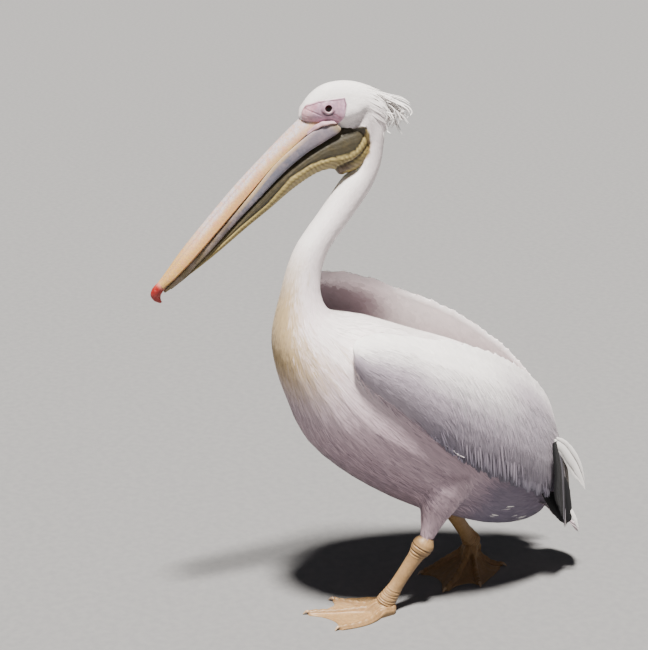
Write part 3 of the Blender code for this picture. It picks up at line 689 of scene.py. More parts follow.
def scatter(skin, chosen, spacing, seed):
    """Points spaced at least that far apart over the chosen faces: (points, face of each)."""
    chance = np.random.default_rng(seed)
    faces = np.where(chosen)[0]
    total = skin.areas[faces].sum()
    tries = int(total / spacing**2 * 2.2)
    picks = chance.choice(faces, tries, p=skin.areas[faces] / total)
    corners = [skin.mesh.polygons[int(i)].vertices for i in picks]
    a, b, c = (skin.points[[v[k] for v in corners]] for k in range(3))
    d = skin.points[[v[-1] for v in corners]]
    s, t = chance.random((2, tries, 1))
    points = a * (1 - s) * (1 - t) + b * s * (1 - t) + c * s * t + d * (1 - s) * t
    taken, kept = {}, []
    around = list(itertools.product((-1, 0, 1), repeat=3))
    for i, (p, (x, y, z)) in enumerate(zip(points.tolist(), np.floor(points / spacing).astype(int).tolist())):
        near = (taken.get((x + dx, y + dy, z + dz)) for dx, dy, dz in around)
        if all(q is None or math.dist(p, q) >= spacing for q in near):
            taken[(x, y, z)] = p
            kept.append(i)
    return points[kept], picks[kept]


def laid_lines(skin, roots, faces, lengths, rows, yaw, hug=0.35, past="free"):
    """Each feather's centre line along the coat's lie, and the surface normals under it. Where the surface
    turns away by more than hug, a line goes on "free", ends short at the "edge", or hangs "down" from it."""
    lines = np.empty((len(roots), rows, 3))
    ups = np.empty((len(roots), rows, 3))
    nearest = skin.tree.find_nearest
    for i, (root, face) in enumerate(zip(roots, faces)):
        p = Vector(root)
        normal = first = Vector(skin.face_normals[face])
        way = Vector(skin.flow[face])
        way = (way * math.cos(yaw[i]) + normal.cross(way) * math.sin(yaw[i])).normalized()
        step = lengths[i] / (rows - 1)
        path, over = [p], [normal]
        free = False
        while len(path) < rows:
            q = p + way * step
            if not free:
                found, up, index, _ = nearest(q)
                if up.dot(first) < hug or (past == "down" and up.z < UNDERSIDE + yaw[i]):
                    if past == "edge":
                        break
                    free = True
                    if past == "down":
                        way = (way + Vector((0, 0, -1.2))).normalized()
                        q = p + way * step
                else:
                    q, normal = found, (normal + up).normalized()
                    turn = Vector(skin.flow[index])
                    way = (way * 0.7 + turn * 0.3)
                    way = (way - normal * way.dot(normal)).normalized()
            p = q
            path.append(p)
            over.append(normal)
        if len(path) < rows:
            path.append(p + way * step * 0.4)
            over.append(normal)
            at = np.linspace(0, len(path) - 1, rows)
            share = (at % 1)[:, None]
            low = at.astype(int)
            high = np.minimum(low + 1, len(path) - 1)
            path, over = np.array(path), np.array(over)
            path, over = path[low] * (1 - share) + path[high] * share, over[low]
        lines[i], ups[i] = path, over
    return lines, ups


UNDERSIDE = -0.42  # a surface whose normal points down by more than this is past a wing's hem
# Width along a feather from root to tip, as (share, width).
SHAPES = {
    "lance": [(0, 0.35), (0.25, 0.8), (0.55, 1.0), (0.8, 0.72), (0.93, 0.36), (1, 0.05)],
    "round": [(0, 0.35), (0.2, 0.75), (0.5, 1.0), (0.8, 0.98), (0.93, 0.8), (1, 0.4)],
    "strand": [(0, 0.6), (0.3, 1.0), (0.7, 0.75), (1, 0.06)],
    "long": [(0, 0.3), (0.2, 0.8), (0.6, 1.0), (0.82, 0.8), (0.94, 0.45), (1, 0.1)],
    "quill": [(0, 0.25), (0.1, 0.8), (0.5, 1.0), (0.88, 0.95), (0.95, 0.75), (1, 0.3)],
    "blade": [(0, 0.4), (0.1, 0.8), (0.5, 1.0), (0.8, 0.8), (0.93, 0.45), (1, 0.05)],
    "lock": [(0, 0.6), (0.3, 1.0), (0.7, 0.85), (0.9, 0.5), (1, 0.06)],
    "leaf": [(0, 0.45), (0.15, 0.75), (0.4, 1.0), (0.65, 0.8), (0.85, 0.4), (1, 0.03)],
}
# The body's middle line from forehead to tail, (fwd, z), that the coat's map is unrolled about.
SPINE = [(27, 94), (21, 96), (14, 94.5), (12.6, 91), (13.2, 86.5), (15.5, 81.5), (19.5, 76.5), (24, 71.5),
         (26, 67.5), (26.5, 62), (26, 56), (22, 50), (16, 43), (8, 38), (0, 34), (-8, 30), (-16, 27),
         (-24, 20), (-32, 10)]


def unrolled(points):
    """Where each point is on the skin unrolled about the spine: how far along it, and round it, 0 to 1."""
    fwd, side, z = bird_frame(points)
    spine = np.array(SPINE, float)
    lengths = np.hypot(*np.diff(spine, axis=0).T)
    best = np.full(len(fwd), 1e9)
    reach, over = np.zeros(len(fwd)), np.zeros(len(fwd))
    for i, (start, end) in enumerate(zip(spine, spine[1:])):
        run = (end - start) / lengths[i]
        t = np.clip((fwd - start[0]) * run[0] + (z - start[1]) * run[1], 0, lengths[i])
        away = np.hypot(fwd - start[0] - run[0] * t, z - start[1] - run[1] * t)
        closer = away < best
        best = np.where(closer, away, best)
        reach = np.where(closer, lengths[:i].sum() + t, reach)
        over = np.where(closer, (z - start[1]) * -run[0] + (fwd - start[0]) * run[1], over)
    return reach / lengths.sum(), np.arctan2(side, over) / (2 * math.pi) + 0.5


PATCH = 0.003  # how far across each feather's patch of the map is


def feathers(name, lines, ups, widths, tint, shade, slot, shape="lance", columns=3, camber=0.25, lift=0.0,
             rise=1.0, tip=0.0, rag=0.0, seed=0, replaced=(), held=None):
    """A piece of many blades. widths and lift are in metres; tip is how far each takes the tip's colour; held
    is the surface that each blade is laid on across its whole width."""
    chance = np.random.default_rng(seed + 7)
    count, rows, _ = lines.shape
    t = np.linspace(0, 1, rows)
    across = np.linspace(-1, 1, columns)
    run = np.gradient(lines, axis=1)
    side = np.cross(run, ups)
    side /= np.linalg.norm(side, axis=2)[..., None] + 1e-12
    width = widths[:, None] * np.interp(t, *zip(*SHAPES[shape]))[None]
    spread = width[:, :, None] * across[None, None]
    if rag:
        spread = spread * (1 - rag * chance.random((count, rows, 1)) * np.abs(across) ** 2)
    lift = np.broadcast_to(np.asarray(lift, float).reshape(-1, 1), (count, 1))
    height = (lift * t[None] ** rise)[:, :, None] - camber * width[:, :, None] * across[None, None] ** 2
    points = lines[:, :, None] + side[:, :, None] * spread[..., None]
    if held is None:
        points = points + ups[:, :, None] * height[..., None]
    else:
        laid = [held.find_nearest(Vector(p))[:2] for p in points.reshape(-1, 3)]
        laid = [tuple(at + up * h) for (at, up), h in zip(laid, height.ravel())]
        points = np.array(laid).reshape(points.shape)
    grid = points.shape[:3]
    along = np.broadcast_to(t[None, :, None], grid)
    u, v = ((c - c.min()) / (np.ptp(c) + 1e-9) * 0.985 + 0.006 for c in unrolled(lines[:, 0]))
    uv = np.stack([u[:, None, None] + PATCH / 2 * across[None, None] + 0 * along,
                   v[:, None, None] + PATCH * along - PATCH / 2], axis=-1)
    mesh = grid_mesh(name, points, False, {
        "along": along, "across": across[None, None],
        "tint": np.broadcast_to(tint[:, None, None], (*grid, 3)),
        "chance": chance.random(count)[:, None, None],
        "tip": np.broadcast_to(tip, (count,))[:, None, None],
    }, uv)
    return piece(name, mesh, shade, replaced)


def coat(name, skin, chosen, spacing, length, width, lift, shade, seed, rows=5, yaw=0.12, hug=0.35,
         past="free", avoid=None, tone=None, slot="down_feathers", vary=0.22, **look):
    """One piece of coat. Lengths are in centimetres and may be functions of the roots."""
    roots, faces = scatter(skin, chosen, spacing * CM, seed)
    if avoid is not None:
        keep = ~avoid(roots)
        roots, faces = roots[keep], faces[keep]
    chance = np.random.default_rng(seed + 1)
    count = len(roots)

    def size(value, vary):
        value = value(roots) if callable(value) else np.full(count, value)
        return value * chance.uniform(1 - vary, 1 + vary, count) * CM

    lengths, widths, lifts = size(length, vary), size(width, 0.18) / 2, size(lift, 0.45)
    lines, ups = laid_lines(skin, roots, faces, lengths, rows, chance.normal(0, yaw, count), hug, past)
    run = np.linalg.norm(np.diff(lines, axis=1), axis=2).sum(1) + 1e-9
    keep = np.linalg.norm(lines[:, -1] - lines[:, 0], axis=1) / run > 0.8  # a line that bends back is dropped
    roots, faces, lines, ups, widths, lifts = (v[keep] for v in (roots, faces, lines, ups, widths, lifts))
    count, wing = len(roots), skin.wing[faces].astype(float)
    stray = chance.normal(0, 1, (count, 3)) * (1 - 0.7 * wing[:, None])
    tint = markings(roots + stray * 0.5 * CM, skin.face_normals[faces] + stray[:, ::-1] * 0.13, wing)
    if tone is not None:
        tint = tone(roots, tint, chance)
    tint = tint * chance.normal(1.0, 0.03, (count, 1))
    return feathers(name, lines, ups, widths, tint, shade, slot, lift=lifts, seed=seed, **look)


def feather_shade(name, edge=0.86, root=0.9, roughness=0.7, streak=0.3, tip=(0.34, 0.36, 0.42), vary=0.06,
                  sheen=0.1):
    """A feather's tint, with painted shade at its root and along its edges, fine streaks along it and a
    coloured tip.
    """
    shade = Shade(name, roughness, Sheen_Weight=sheen)
    along, across, chance = (shade.attribute(key) for key in ("along", "across", "chance"))
    tint = shade.attribute("tint", "Color")
    ended = shade.calc("MULTIPLY", shade.attribute("tip"), shade.ramp(along, [(0.55, 0.0), (0.95, 1.0)]))
    tint = shade.mix(ended, tint, tip)
    where = shade.vector(shade.calc("MULTIPLY_ADD", chance, 40.0, shade.calc("MULTIPLY", across, 5.0)),
                         shade.calc("MULTIPLY", along, 2.2), shade.calc("MULTIPLY", chance, 17.0))
    lines = shade.noise(1.0, 3, where=where)
    # painted shade along each feather's edges and at its root, between it and its neighbours
    shades = (shade.ramp(shade.calc("ABSOLUTE", across), [(0.4, 1.0), (1.0, edge)]),
              shade.ramp(along, [(0.0, root), (0.5, 1.0)]),
              shade.ramp(lines, [(0.3, 1 - vary * 1.6), (0.7, 1 + vary)]),
              shade.ramp(chance, [(0.0, 1 - vary), (1.0, 1 + vary)]))
    for amount in shades:
        tint = shade.mix(1.0, tint, amount, "MULTIPLY")
    shade.colour(tint)
    shade.rough(shade.ramp(lines, [(0.2, roughness - 0.08), (0.8, min(1.0, roughness + 0.1))]))
    shade.bump(lines, streak, 0.0006)
    return shade


def fading(base, more, high, low):
    """A length that grows by more from one height down to another."""
    return lambda roots: base + more * smoothstep(high, low, bird_frame(roots)[2])


def build_coats(skin):
    owner = skin.owner
    soft = feather_shade("down", 1.0, 1.0, 0.8, 0.25, vary=0.02)
    fine = feather_shade("breast", 1.0, 0.98, 0.8, 0.3, vary=0.03)
    silver = feather_shade("silver", 0.93, 0.95, 0.6, 0.6, tip=(0.12, 0.12, 0.16), vary=0.08)
    z = bird_frame(skin.centres)[2]
    bare = (bare_face(skin.centres) > 0.4) | (bare_throat(skin.centres, 0.55) > 0.5)
    beak = beak_tree()

    def by_beak(roots):
        return np.array([beak.find_nearest(Vector(p), 0.004)[0] is not None for p in roots])

    def nape(roots):
        fwd, _, height = head_frame(roots)
        return smoothstep(17, 11, fwd) * smoothstep(92, 96, height)

    def lighter(roots, tint, chance):
        return tint * chance.uniform(1.0, 1.16, (len(roots), 1))

    # paler feathers in small patches under the tail: painted sunlight on the shaded rump
    def flecked(roots, tint, chance):
        f, _, h = bird_frame(roots)
        for at, height, wide in SUN_FLECKS:
            lit = np.hypot(f - at, h - height) < wide * chance.uniform(0.3, 1.1, len(roots))
            lit &= chance.random(len(roots)) < 0.6
            paler = tint + (WHITE - tint) * chance.uniform(0.3, 0.9, (len(roots), 1))
            tint = np.where(lit[:, None], paler, tint)
        return tint

    def laid(name, chosen, *sizes, **look):
        """One piece of coat; sizes are its spacing, length, width, lift, shade and seed."""
        coat("coat_" + name, skin, chosen, *sizes, **look)

    trunk, head = np.isin(owner, ["trunk", "rump"]), owner == "head"
    belly, under = (owner == "trunk") & (z < 46), (owner == "rump") & (z < 32)
    chest = (np.isin(owner, ["neck_lower", "breast"]) & (z < 67)) | belly
    laid("head", head & ~bare, 0.155, lambda r: 0.62 + 1.3 * nape(r), lambda r: 0.26 + 0.04 * nape(r),
         lambda r: 0.018 + 0.2 * nape(r) ** 2, soft, 11, rows=4, yaw=0.2, avoid=by_beak, camber=0.07)
    laid("nape", head & (nape(skin.centres) > 0.45), 0.34, 3.0, 0.34, 0.3, soft, 21, rows=7, yaw=0.16,
         camber=0.1, hug=0.55, shape="leaf")
    for part, spacing, seed in (("neck_upper", 0.18, 12), ("neck_middle", 0.2, 13)):
        laid(part, (owner == part) & ~bare, spacing, fading(0.95, 0.5, 76, 57), 0.3, 0.022, soft, seed,
             rows=4, yaw=0.2, avoid=by_beak, camber=0.06)
    laid("neck_lower", owner == "neck_lower", 0.235, fading(0.95, 2.2, 76, 57), 0.32,
         fading(0.03, 0.05, 76, 57), soft, 14, camber=0.08)
    laid("breast", owner == "breast", 0.33, fading(3.0, 1.0, 58, 42), 0.42, 0.035, fine, 15, rows=6,
         camber=0.04, past="edge")
    laid("belly", belly, 0.38, 3.8, 0.48, 0.04, fine, 16, rows=6, camber=0.04, past="edge")
    laid("strands", chest, 0.6, fading(2.4, 2.4, 66, 50), 0.17, 0.1, fine, 20, rows=7, yaw=0.18,
         shape="strand", camber=0.1, tone=lighter, past="edge")
    laid("rump", under, 0.38, 3.0, 0.42, 0.06, fine, 17, rows=6, camber=0.05, tone=flecked, past="edge")
    laid("back", trunk & ~belly & ~under, 0.5, 3.0, 0.95, 0.03, soft, 18, rows=6, columns=5, camber=0.02,
         shape="round", held=skin.tree)
    laid("thighs", np.isin(owner, ["thigh_left", "thigh_right"]), 0.27, 2.0, 0.3, 0.06, fine, 19, camber=0.06)
    for name, sign in SIDES:
        build_wing_coat(skin, name, sign, soft, silver)


# Painted patches of sunlight on the shaded feathers under the tail: fwd, z, how wide.
SUN_FLECKS = [(-9.5, 16.3, 0.6), (-11.5, 17.0, 0.7), (-8.5, 14.2, 0.7), (-14.5, 14.0, 0.9), (-16.5, 12.6, 0.9)]


def build_wing_coat(skin, name, sign, soft, silver):
    """Small smooth coverts on top, strands at the bend, long narrow feathers below and a fringed hem."""
    fwd, side, z = bird_frame(skin.centres)
    down = down_the_wing(skin.centres)
    outer = skin.face_normals[:, 0] * sign > -0.25
    own = skin.owner == "wing_" + name
    shown = own & outer & ~((fwd < -20.6) & (z - np.where(side < 0, lookup(RIGHT_LIFT, fwd), 0) < 28.5))

    def streaked(roots, tint, chance):
        return tint * chance.choice([0.72, 0.88, 1.0, 1.12, 1.25], (len(roots), 1))

    def lighter(roots, tint, chance):
        return tint * chance.uniform(1.05, 1.35, (len(roots), 1))

    def shaded(roots, tint, chance):
        return tint * chance.choice([0.6, 0.75, 0.9], (len(roots), 1))

    def to_hem(roots):
        """How far each root is from where the wing's feathers end, which is in uneven clumps."""
        f = bird_frame(roots)[0]
        tall = lookup(WING_TOP, f) - lookup(WING_HEM, f, 2)
        clump = 0.35 * np.sin(f * 2.1) + 0.3 * np.sin(f * 4.7 + 1.0)
        past = (0.6 + clump) * smoothstep(9, 1, f)
        return np.maximum((1.0 - down_the_wing(roots)) * tall * 1.05 + past, 0.5)

    def long(roots):
        return np.minimum(3.5 + 3.5 * smoothstep(-26, -16, bird_frame(roots)[0]), to_hem(roots))

    def short(roots):
        return np.minimum(4.6, to_hem(roots))

    def laid(part, chosen, spacing, length, width, lift, shade, number, **look):
        coat(f"coat_wing_{part}_{name}", skin, chosen, spacing, length, width, lift, shade,
             (30 if sign > 0 else 50) + number, slot="wing_feathers", **look)

    smooth = dict(columns=5, camber=0.02, shape="round", hug=0.6, past="edge", held=skin.tree)
    hung, edged = dict(hug=0.3, past="down", rows=8), dict(hug=0.35, past="edge")
    laid("inner", own & ~outer, 0.6, 2.2, 1.0, 0.02, soft, 0, **smooth)
    high = down < 0.46 - 0.1 * smoothstep(4, 11, fwd)
    laid("top", own & outer & high, 0.45, 2.2, 0.85, 0.02, soft, 1, **smooth)
    laid("front", shown & (down > 0.2) & (fwd > 4), 0.28, 3.2, 0.34, 0.04, silver, 2,
         rows=7, yaw=0.2, camber=0.05, **edged)
    laid("long", shown & (down > 0.18) & (down < 0.99) & (fwd < 8), 0.34, long, 0.36, 0.03, silver, 3,
         yaw=0.07, shape="long", camber=0.04, vary=0.08, tip=0.45, **hung)
    laid("strands", shown & (down > 0.2) & (down < 0.97) & (fwd < 7), 0.46, short, 0.18, 0.06, silver, 4,
         yaw=0.1, shape="strand", tone=streaked, camber=0.06, vary=0.1, tip=0.3, **hung)
    laid("wisps", shown & (down > 0.2) & (down < 0.9), 1.0, 2.4, 0.15, 0.13, silver, 6,
         rows=6, yaw=0.28, shape="strand", tone=lighter, camber=0.06, **edged)
    laid("hem", shown & (down > 0.84) & (down < 1.0) & (fwd < 6), 0.36, to_hem, 0.34, 0.0, silver, 5,
         yaw=0.05, shape="long", camber=0.04, tone=shaded, vary=0.1, tip=0.3, **hung)


def beak_tree():
    mesh, _ = joined(["bill_upper", "jaw_left", "jaw_right", "pouch"], "beak")
    tree = surface(arrays(mesh)[0], mesh)
    bpy.data.meshes.remove(mesh)
    return tree


# ---------------------------------------------------------------- flight feathers, plumes and crest


def drawn(controls, steps, turn=0.0):
    """Smooth centre lines through each feather's control points, (fwd, side, z)."""
    return np.array([[place(*p, turn) for p in curve_through(c, steps)] for c in controls])


# The flight feathers' fan: its middle line (fwd, side, z) and how far it reaches to each side.
FAN = [(-21.4, 8.1, 22.5, 2.2), (-23.7, 7.2, 19.0, 2.2), (-25.5, 6.7, 15.2, 1.5), (-27.2, 6.2, 11.8, 0.5)]
# The long dark feathers behind the wing: fwd and z of the first and of the last at four places down them.
TERTIALS = [((-20.0, 31.0), (-22.6, 30.4)), ((-21.5, 25.0), (-25.3, 25.0)), ((-21.8, 20.0), (-26.9, 19.4)),
            ((-22.8, 16.4), (-27.6, 12.4))]
TERTIAL_TIPS = [(0, 0.6), (0.4, -1.4), (0.75, -2.6), (1, 0)]  # how far each tip is above the line between
BEHIND = [(-20, 10.6), (-22, 9.5), (-24.8, 7.7), (-26.8, 6.2), (-29, 5.6)]  # how far out they lie at each fwd
PLUMES = [
    [(-20.8, 10.3, 30.8), (-23.8, 8.8, 28.5), (-27.0, 7.4, 24.8), (-29.3, 6.6, 21.2), (-30.7, 6.2, 17.9)],
    [(-21.2, 10.1, 29.6), (-23.9, 8.6, 27.2), (-26.8, 7.3, 23.2), (-28.6, 6.8, 20.9), (-30.1, 6.4, 18.8)],
    [(-21.6, 9.7, 31.2), (-24.7, 8.2, 29.2), (-27.9, 7.0, 25.6), (-29.6, 6.5, 22.4), (-30.5, 6.2, 19.6)],
    [(-27.3, 6.6, 14.8), (-28.0, 6.6, 13.4), (-28.7, 6.5, 12.0), (-29.1, 6.4, 11.0), (-29.5, 6.3, 10.2)],
]
SLATE = [(0.010, 0.010, 0.012), (0.014, 0.014, 0.017), (0.012, 0.012, 0.014), (0.018, 0.017, 0.02),
         (0.014, 0.013, 0.014), (0.02, 0.018, 0.02), (0.016, 0.015, 0.015)]
# The hindmost of them are silvery with dark seams: the last eight of fifteen.
HINDMOST = [(0.22, 0.21, 0.25), (0.13, 0.12, 0.14), (0.02, 0.018, 0.02), (0.34, 0.31, 0.34),
            (0.18, 0.155, 0.14), (0.02, 0.017, 0.017), (0.28, 0.24, 0.21), (0.13, 0.105, 0.085)]


def flight(name, controls, steps, up, widths, *rest, columns=9, **look):
    """A piece of large feathers drawn through their control points."""
    lines = drawn(controls, steps)
    ups = np.tile(np.array(up), (*lines.shape[:2], 1))
    feathers(name, lines, ups, np.asarray(widths) * CM, *rest, columns=columns, **look)


def build_flight():
    slate = feather_shade("slate", 0.75, 0.9, 0.5, 0.6, vary=0.2, sheen=0.0)
    slate.shader.inputs["Specular IOR Level"].default_value = 0.25
    white = feather_shade("plume", 0.97, 0.97, 0.7, 0.45, vary=0.03)
    for name, sign in SIDES:
        def raised(points):
            return [(f, sign * s, z + (lookup(RIGHT_LIFT, f) if sign < 0 else 0.0)) for f, s, z in points]

        chance = np.random.default_rng(70 + sign)
        controls = []
        for i, o in enumerate(np.linspace(1, -1, 9)):
            controls.append(raised([(f + 0.83 * o * deep, s + 0.03 * i, z - 0.55 * o * deep)
                                    for f, s, z, deep in FAN]))
        flight("primaries_feathers_" + name, controls, 7, (sign * 0.96, 0.25, 0.1), np.full(9, 0.85),
               np.array(SLATE[:3] * 3), slate, "flight_feathers", shape="blade", camber=0.15, rag=0.1,
               seed=71, replaced=["primaries_" + name])
        controls, tints = [], np.array(SLATE + HINDMOST)
        count = len(tints)
        for i in range(count):
            t = i / (count - 1)
            points = []
            for k, (first, last) in enumerate(TERTIALS):
                f, z = (a + (b - a) * t for a, b in zip(first, last))
                if k == 3:
                    z += np.interp(t, *zip(*TERTIAL_TIPS)) + chance.uniform(-0.5, 0.5)
                f += chance.uniform(-0.15, 0.15)
                points.append((f, lookup(BEHIND, f) + 0.05 * (count - i) - 0.2, z))
            controls.append(raised(points))
        widths = np.interp(np.arange(count) / count, [0, 0.5, 1], [0.6, 0.42, 0.4])
        flight("tertials_" + name, controls, 8, (sign * 0.93, 0.35, 0.1), widths, tints, slate,
               "flight_feathers", shape="blade", camber=0.25, rag=0.12, seed=72)
        flight("plume_feathers_" + name, [raised(p) for p in PLUMES], 8, (sign * 0.9, 0.3, 0.3),
               [1.25, 0.8, 0.6, 0.6], np.tile(WHITE, (4, 1)), white, "white_plumes", shape="leaf", camber=0.2,
               rag=0.2, seed=73, replaced=["plume_" + name])
    controls = []
    for o in np.arange(20) / 9.5 - 1:
        controls.append([(-20.5, 2.4 * o, 17.6 - 0.5 * abs(o)), (-25.4, 3.5 * o, 14.0 - 0.6 * abs(o)),
                         (-29.2, 4.0 * o, 10.9 - 0.6 * abs(o)), (-32.6 + 1.9 * o * o, 4.2 * o, 8.4)])
    tints = np.array([BLUSH if i % 3 else PINK_AND_SHADE for i in range(20)]) * 0.8
    flight("tail_feathers", controls, 6, (0.0, 0.45, 0.9), np.full(20, 0.95), tints, white, "flight_feathers",
           shape="quill", columns=7, camber=0.1, rag=0.12, seed=74, replaced=["tail"])


# The crest's locks, from the crown down and back: middle line (fwd, z), how far to the side, how thick.
LOCKS = [
    ([(12.4, 98.2), (9.6, 96.6), (7.8, 95.8), (6.4, 94.9), (5.9, 93.9), (6.5, 93.2)], 0.5, 0.42),
    ([(12.0, 97.6), (9.2, 95.9), (7.5, 94.3), (6.5, 93.1)], 0.1, 0.36),
    ([(12.0, 97.2), (9.6, 95.4), (7.7, 93.7), (6.3, 92.1)], 0.7, 0.32),
    ([(11.6, 96.8), (10.0, 95.2), (9.3, 93.7), (8.9, 92.6), (9.4, 91.5)], 0.9, 0.40),
    ([(11.6, 96.8), (9.5, 94.8), (8.5, 92.7), (7.9, 91.3), (7.3, 89.9)], 0.4, 0.22),
    ([(11.4, 96.4), (9.1, 95.0), (8.1, 93.7), (8.3, 92.5)], 1.2, 0.28),
    ([(12.0, 97.0), (10.5, 95.2), (10.5, 93.9), (11.0, 92.8)], 1.5, 0.32),
    ([(12.6, 98.2), (9.2, 97.0), (7.1, 96.3), (5.7, 95.3)], -0.1, 0.16),
    ([(12.2, 97.8), (8.4, 96.1), (6.4, 94.9), (5.0, 93.5)], -0.4, 0.18),
    ([(12.0, 97.4), (8.8, 95.4), (7.2, 93.4), (6.6, 91.8)], -0.7, 0.34),
    ([(11.6, 96.8), (9.5, 94.8), (8.8, 93.0), (9.2, 91.4)], -1.1, 0.34),
    ([(12.0, 97.0), (10.6, 95.0), (10.4, 93.4), (11.0, 92.2)], -1.5, 0.32),
]


def build_crest():
    """Loose curved plumes that fall from the back of the crown: locks of blades, and stray thin ones."""
    shade = feather_shade("crest", 0.97, 0.97, 0.7, 0.4, vary=0.03)
    chance = np.random.default_rng(81)
    controls, widths = [], []
    for line, side, thick in LOCKS:
        for blade in range(9):
            spread = np.array([[chance.normal(0, 0.16), chance.normal(0, 0.14), chance.normal(0, 0.16)]])
            grow = np.linspace(0.5, 1.6, len(line))[:, None]
            points = np.array([(f, side * (1 + 0.1 * k), z) for k, (f, z) in enumerate(line)])
            share = chance.uniform(0.72, 1.0)
            points = points[0] + (points - points[0]) * share + spread * grow * (0 if blade == 0 else 1)
            nine = np.linspace(0, 3 * (len(line) - 1), 9).round().astype(int)
            controls.append(curve_through(points, 3)[nine])
            widths.append(thick * (1.0 if blade == 0 else chance.uniform(0.35, 0.8)) * CM)
    for _ in range(70):
        high = chance.uniform(0, 1)
        start = np.array((11.6 + 0.9 * high, chance.uniform(-1.7, 1.7), 92.8 + 5.6 * high))
        heading = math.radians(-24 - 48 * (1 - high) + chance.normal(0, 10))
        bend = math.radians(chance.uniform(15, 60) * chance.choice([1, 1, -0.5]))
        length = chance.uniform(2.6, 6.4) * (0.5 + 0.5 * high)
        points = [start]
        for k in range(8):
            angle = heading - bend * k / 7
            way = np.array((-math.cos(angle), start[1] * 0.08, math.sin(angle)))
            points.append(points[-1] + way * length / 8)
        controls.append(np.array(points))
        widths.append(chance.uniform(0.08, 0.2) * CM)
    lines = drawn(controls, 2, HEAD_TURN)
    count = len(lines)
    ups = np.tile(np.array([0.6, 0.4, 0.7]), (*lines.shape[:2], 1)) + chance.normal(0, 0.3, (count, 1, 3))
    feathers("crest_plumes", lines, ups, np.array(widths), np.tile(WHITE, (count, 1)), shade, "white_plumes",
             shape="lock", columns=5, camber=0.3, rag=0.2, seed=82, replaced=["crest"])


# ---------------------------------------------------------------- bill, pouch and eyes

# Bill stations: s along the bill and h across it for the upper and the lower point, half width, widest at.
BILL_UPPER = [
    ((-6.0, -0.4), (-6.0, -6.0), 1.2, 0.3), ((-1.0, -0.2), (-2.4, -3.5), 2.05, 0.18),
    ((3.0, 0.2), (2.0, -2.5), 2.3, 0.13), ((8.0, 0.6), (8.0, -1.75), 2.15, 0.15),
    ((15.0, 1.05), (15.0, -1.8), 2.05, 0.2), ((23.0, 1.15), (23.0, -1.75), 2.15, 0.25),
    ((30.0, 1.05), (30.0, -1.55), 2.3, 0.3), ((34.5, 0.75), (34.5, -1.25), 1.9, 0.35),
    ((37.3, 0.6), (37.3, -1.0), 1.1, 0.45),
]
NAIL = [
    ((37.0, 0.62), (37.0, -1.02), 1.1, 0.5), ((38.6, 0.75), (38.3, -1.1), 0.92, 0.5),
    ((39.8, 0.25), (38.9, -1.35), 0.66, 0.5), ((40.2, -0.9), (39.3, -1.75), 0.42, 0.5),
    ((39.9, -2.0), (39.5, -2.15), 0.14, 0.5),
]
# The lower jaw's two bars: s, top and bottom h, how far out the outer face is, thickness.
JAW = [
    (-4.4, -5.5, -6.2, 2.4, 0.5), (-4.15, -4.9, -6.6, 2.75, 0.75), (-3.4, -4.2, -6.65, 2.9, 0.9),
    (-2.2, -3.5, -6.2, 2.98, 0.9), (-0.6, -2.85, -5.65, 2.98, 0.9), (3.0, -2.1, -4.5, 2.85, 0.85),
    (8.0, -1.5, -3.7, 2.45, 0.7), (14.0, -1.6, -3.3, 2.15, 0.65), (20.0, -1.55, -2.9, 2.0, 0.6),
    (27.0, -1.4, -2.6, 1.95, 0.55), (33.0, -1.2, -2.2, 1.6, 0.55), (36.0, -1.05, -1.8, 1.0, 0.5),
    (37.8, -1.1, -1.45, 0.45, 0.25),
]
# The fleshy corner of the mouth: s, h, how far out, radius.
GAPE = [(0.4, -2.45, 2.1, 0.1), (-1.0, -2.7, 2.4, 0.3), (-2.4, -3.15, 2.6, 0.46), (-3.6, -4.0, 2.6, 0.5),
        (-4.5, -5.0, 2.5, 0.35)]
POUCH = [
    ((36.6, -1.75), (36.6, -2.0), 0.3, 0.5), ((31.5, -2.3), (31.5, -3.0), 1.15, 0.5),
    ((26.0, -2.5), (26.0, -4.0), 1.55, 0.5), ((20.0, -2.7), (20.0, -5.1), 1.8, 0.5),
    ((14.0, -3.0), (14.0, -6.4), 2.1, 0.5), ((9.0, -3.3), (9.2, -7.3), 2.35, 0.5),
    ((4.5, -3.9), (5.4, -8.4), 2.6, 0.5), ((1.6, -4.6), (3.3, -9.5), 2.75, 0.5),
    ((-1.2, -5.4), (2.1, -10.8), 2.8, 0.5), ((-3.2, -6.2), (2.2, -12.2), 2.8, 0.5),
    ((-5.4, -7.4), (1.0, -13.2), 2.8, 0.5), ((-7.2, -8.6), (-0.6, -14.2), 2.55, 0.5),
    ((-8.6, -9.8), (-2.2, -15.4), 1.7, 0.5),
]
# The pouch's crease, between the olive skin above and the yellow roll, and the fold under the roll: (s, h).
CREASE = [(-9.5, -9.4), (-8.2, -9.6), (-7.0, -10.1), (-5.8, -10.6), (-4.4, -10.9), (-3.1, -10.9),
          (-1.8, -10.5), (-0.4, -9.5), (0.6, -8.5), (2.3, -7.2), (4.4, -6.1), (7.9, -5.1), (14, -5.0),
          (20, -4.0), (26, -3.2), (32, -2.7)]
FOLD = [(-8.5, -12.0), (-5.0, -12.3), (-2.7, -12.2), (-1.1, -11.8), (0.2, -11.1), (1.2, -10.6), (2.2, -11.2),
        (3.5, -13.0)]


def above(line, s, h):
    return h - np.interp(s, *zip(*line))


def along_bill(fwd, z):
    """(s, h) of points in the head's frame."""
    cos, sin = math.cos(BILL_PITCH), math.sin(BILL_PITCH)
    f, h = fwd - BILL_BASE[0], z - BILL_BASE[1]
    return f * cos - h * sin, f * sin + h * cos


def ripple(s, h):
    """The fine wrinkles of the pouch's roll, from -1 to 1."""
    return np.sin(s * 8.5 + 2.0 * np.sin(h * 1.7))


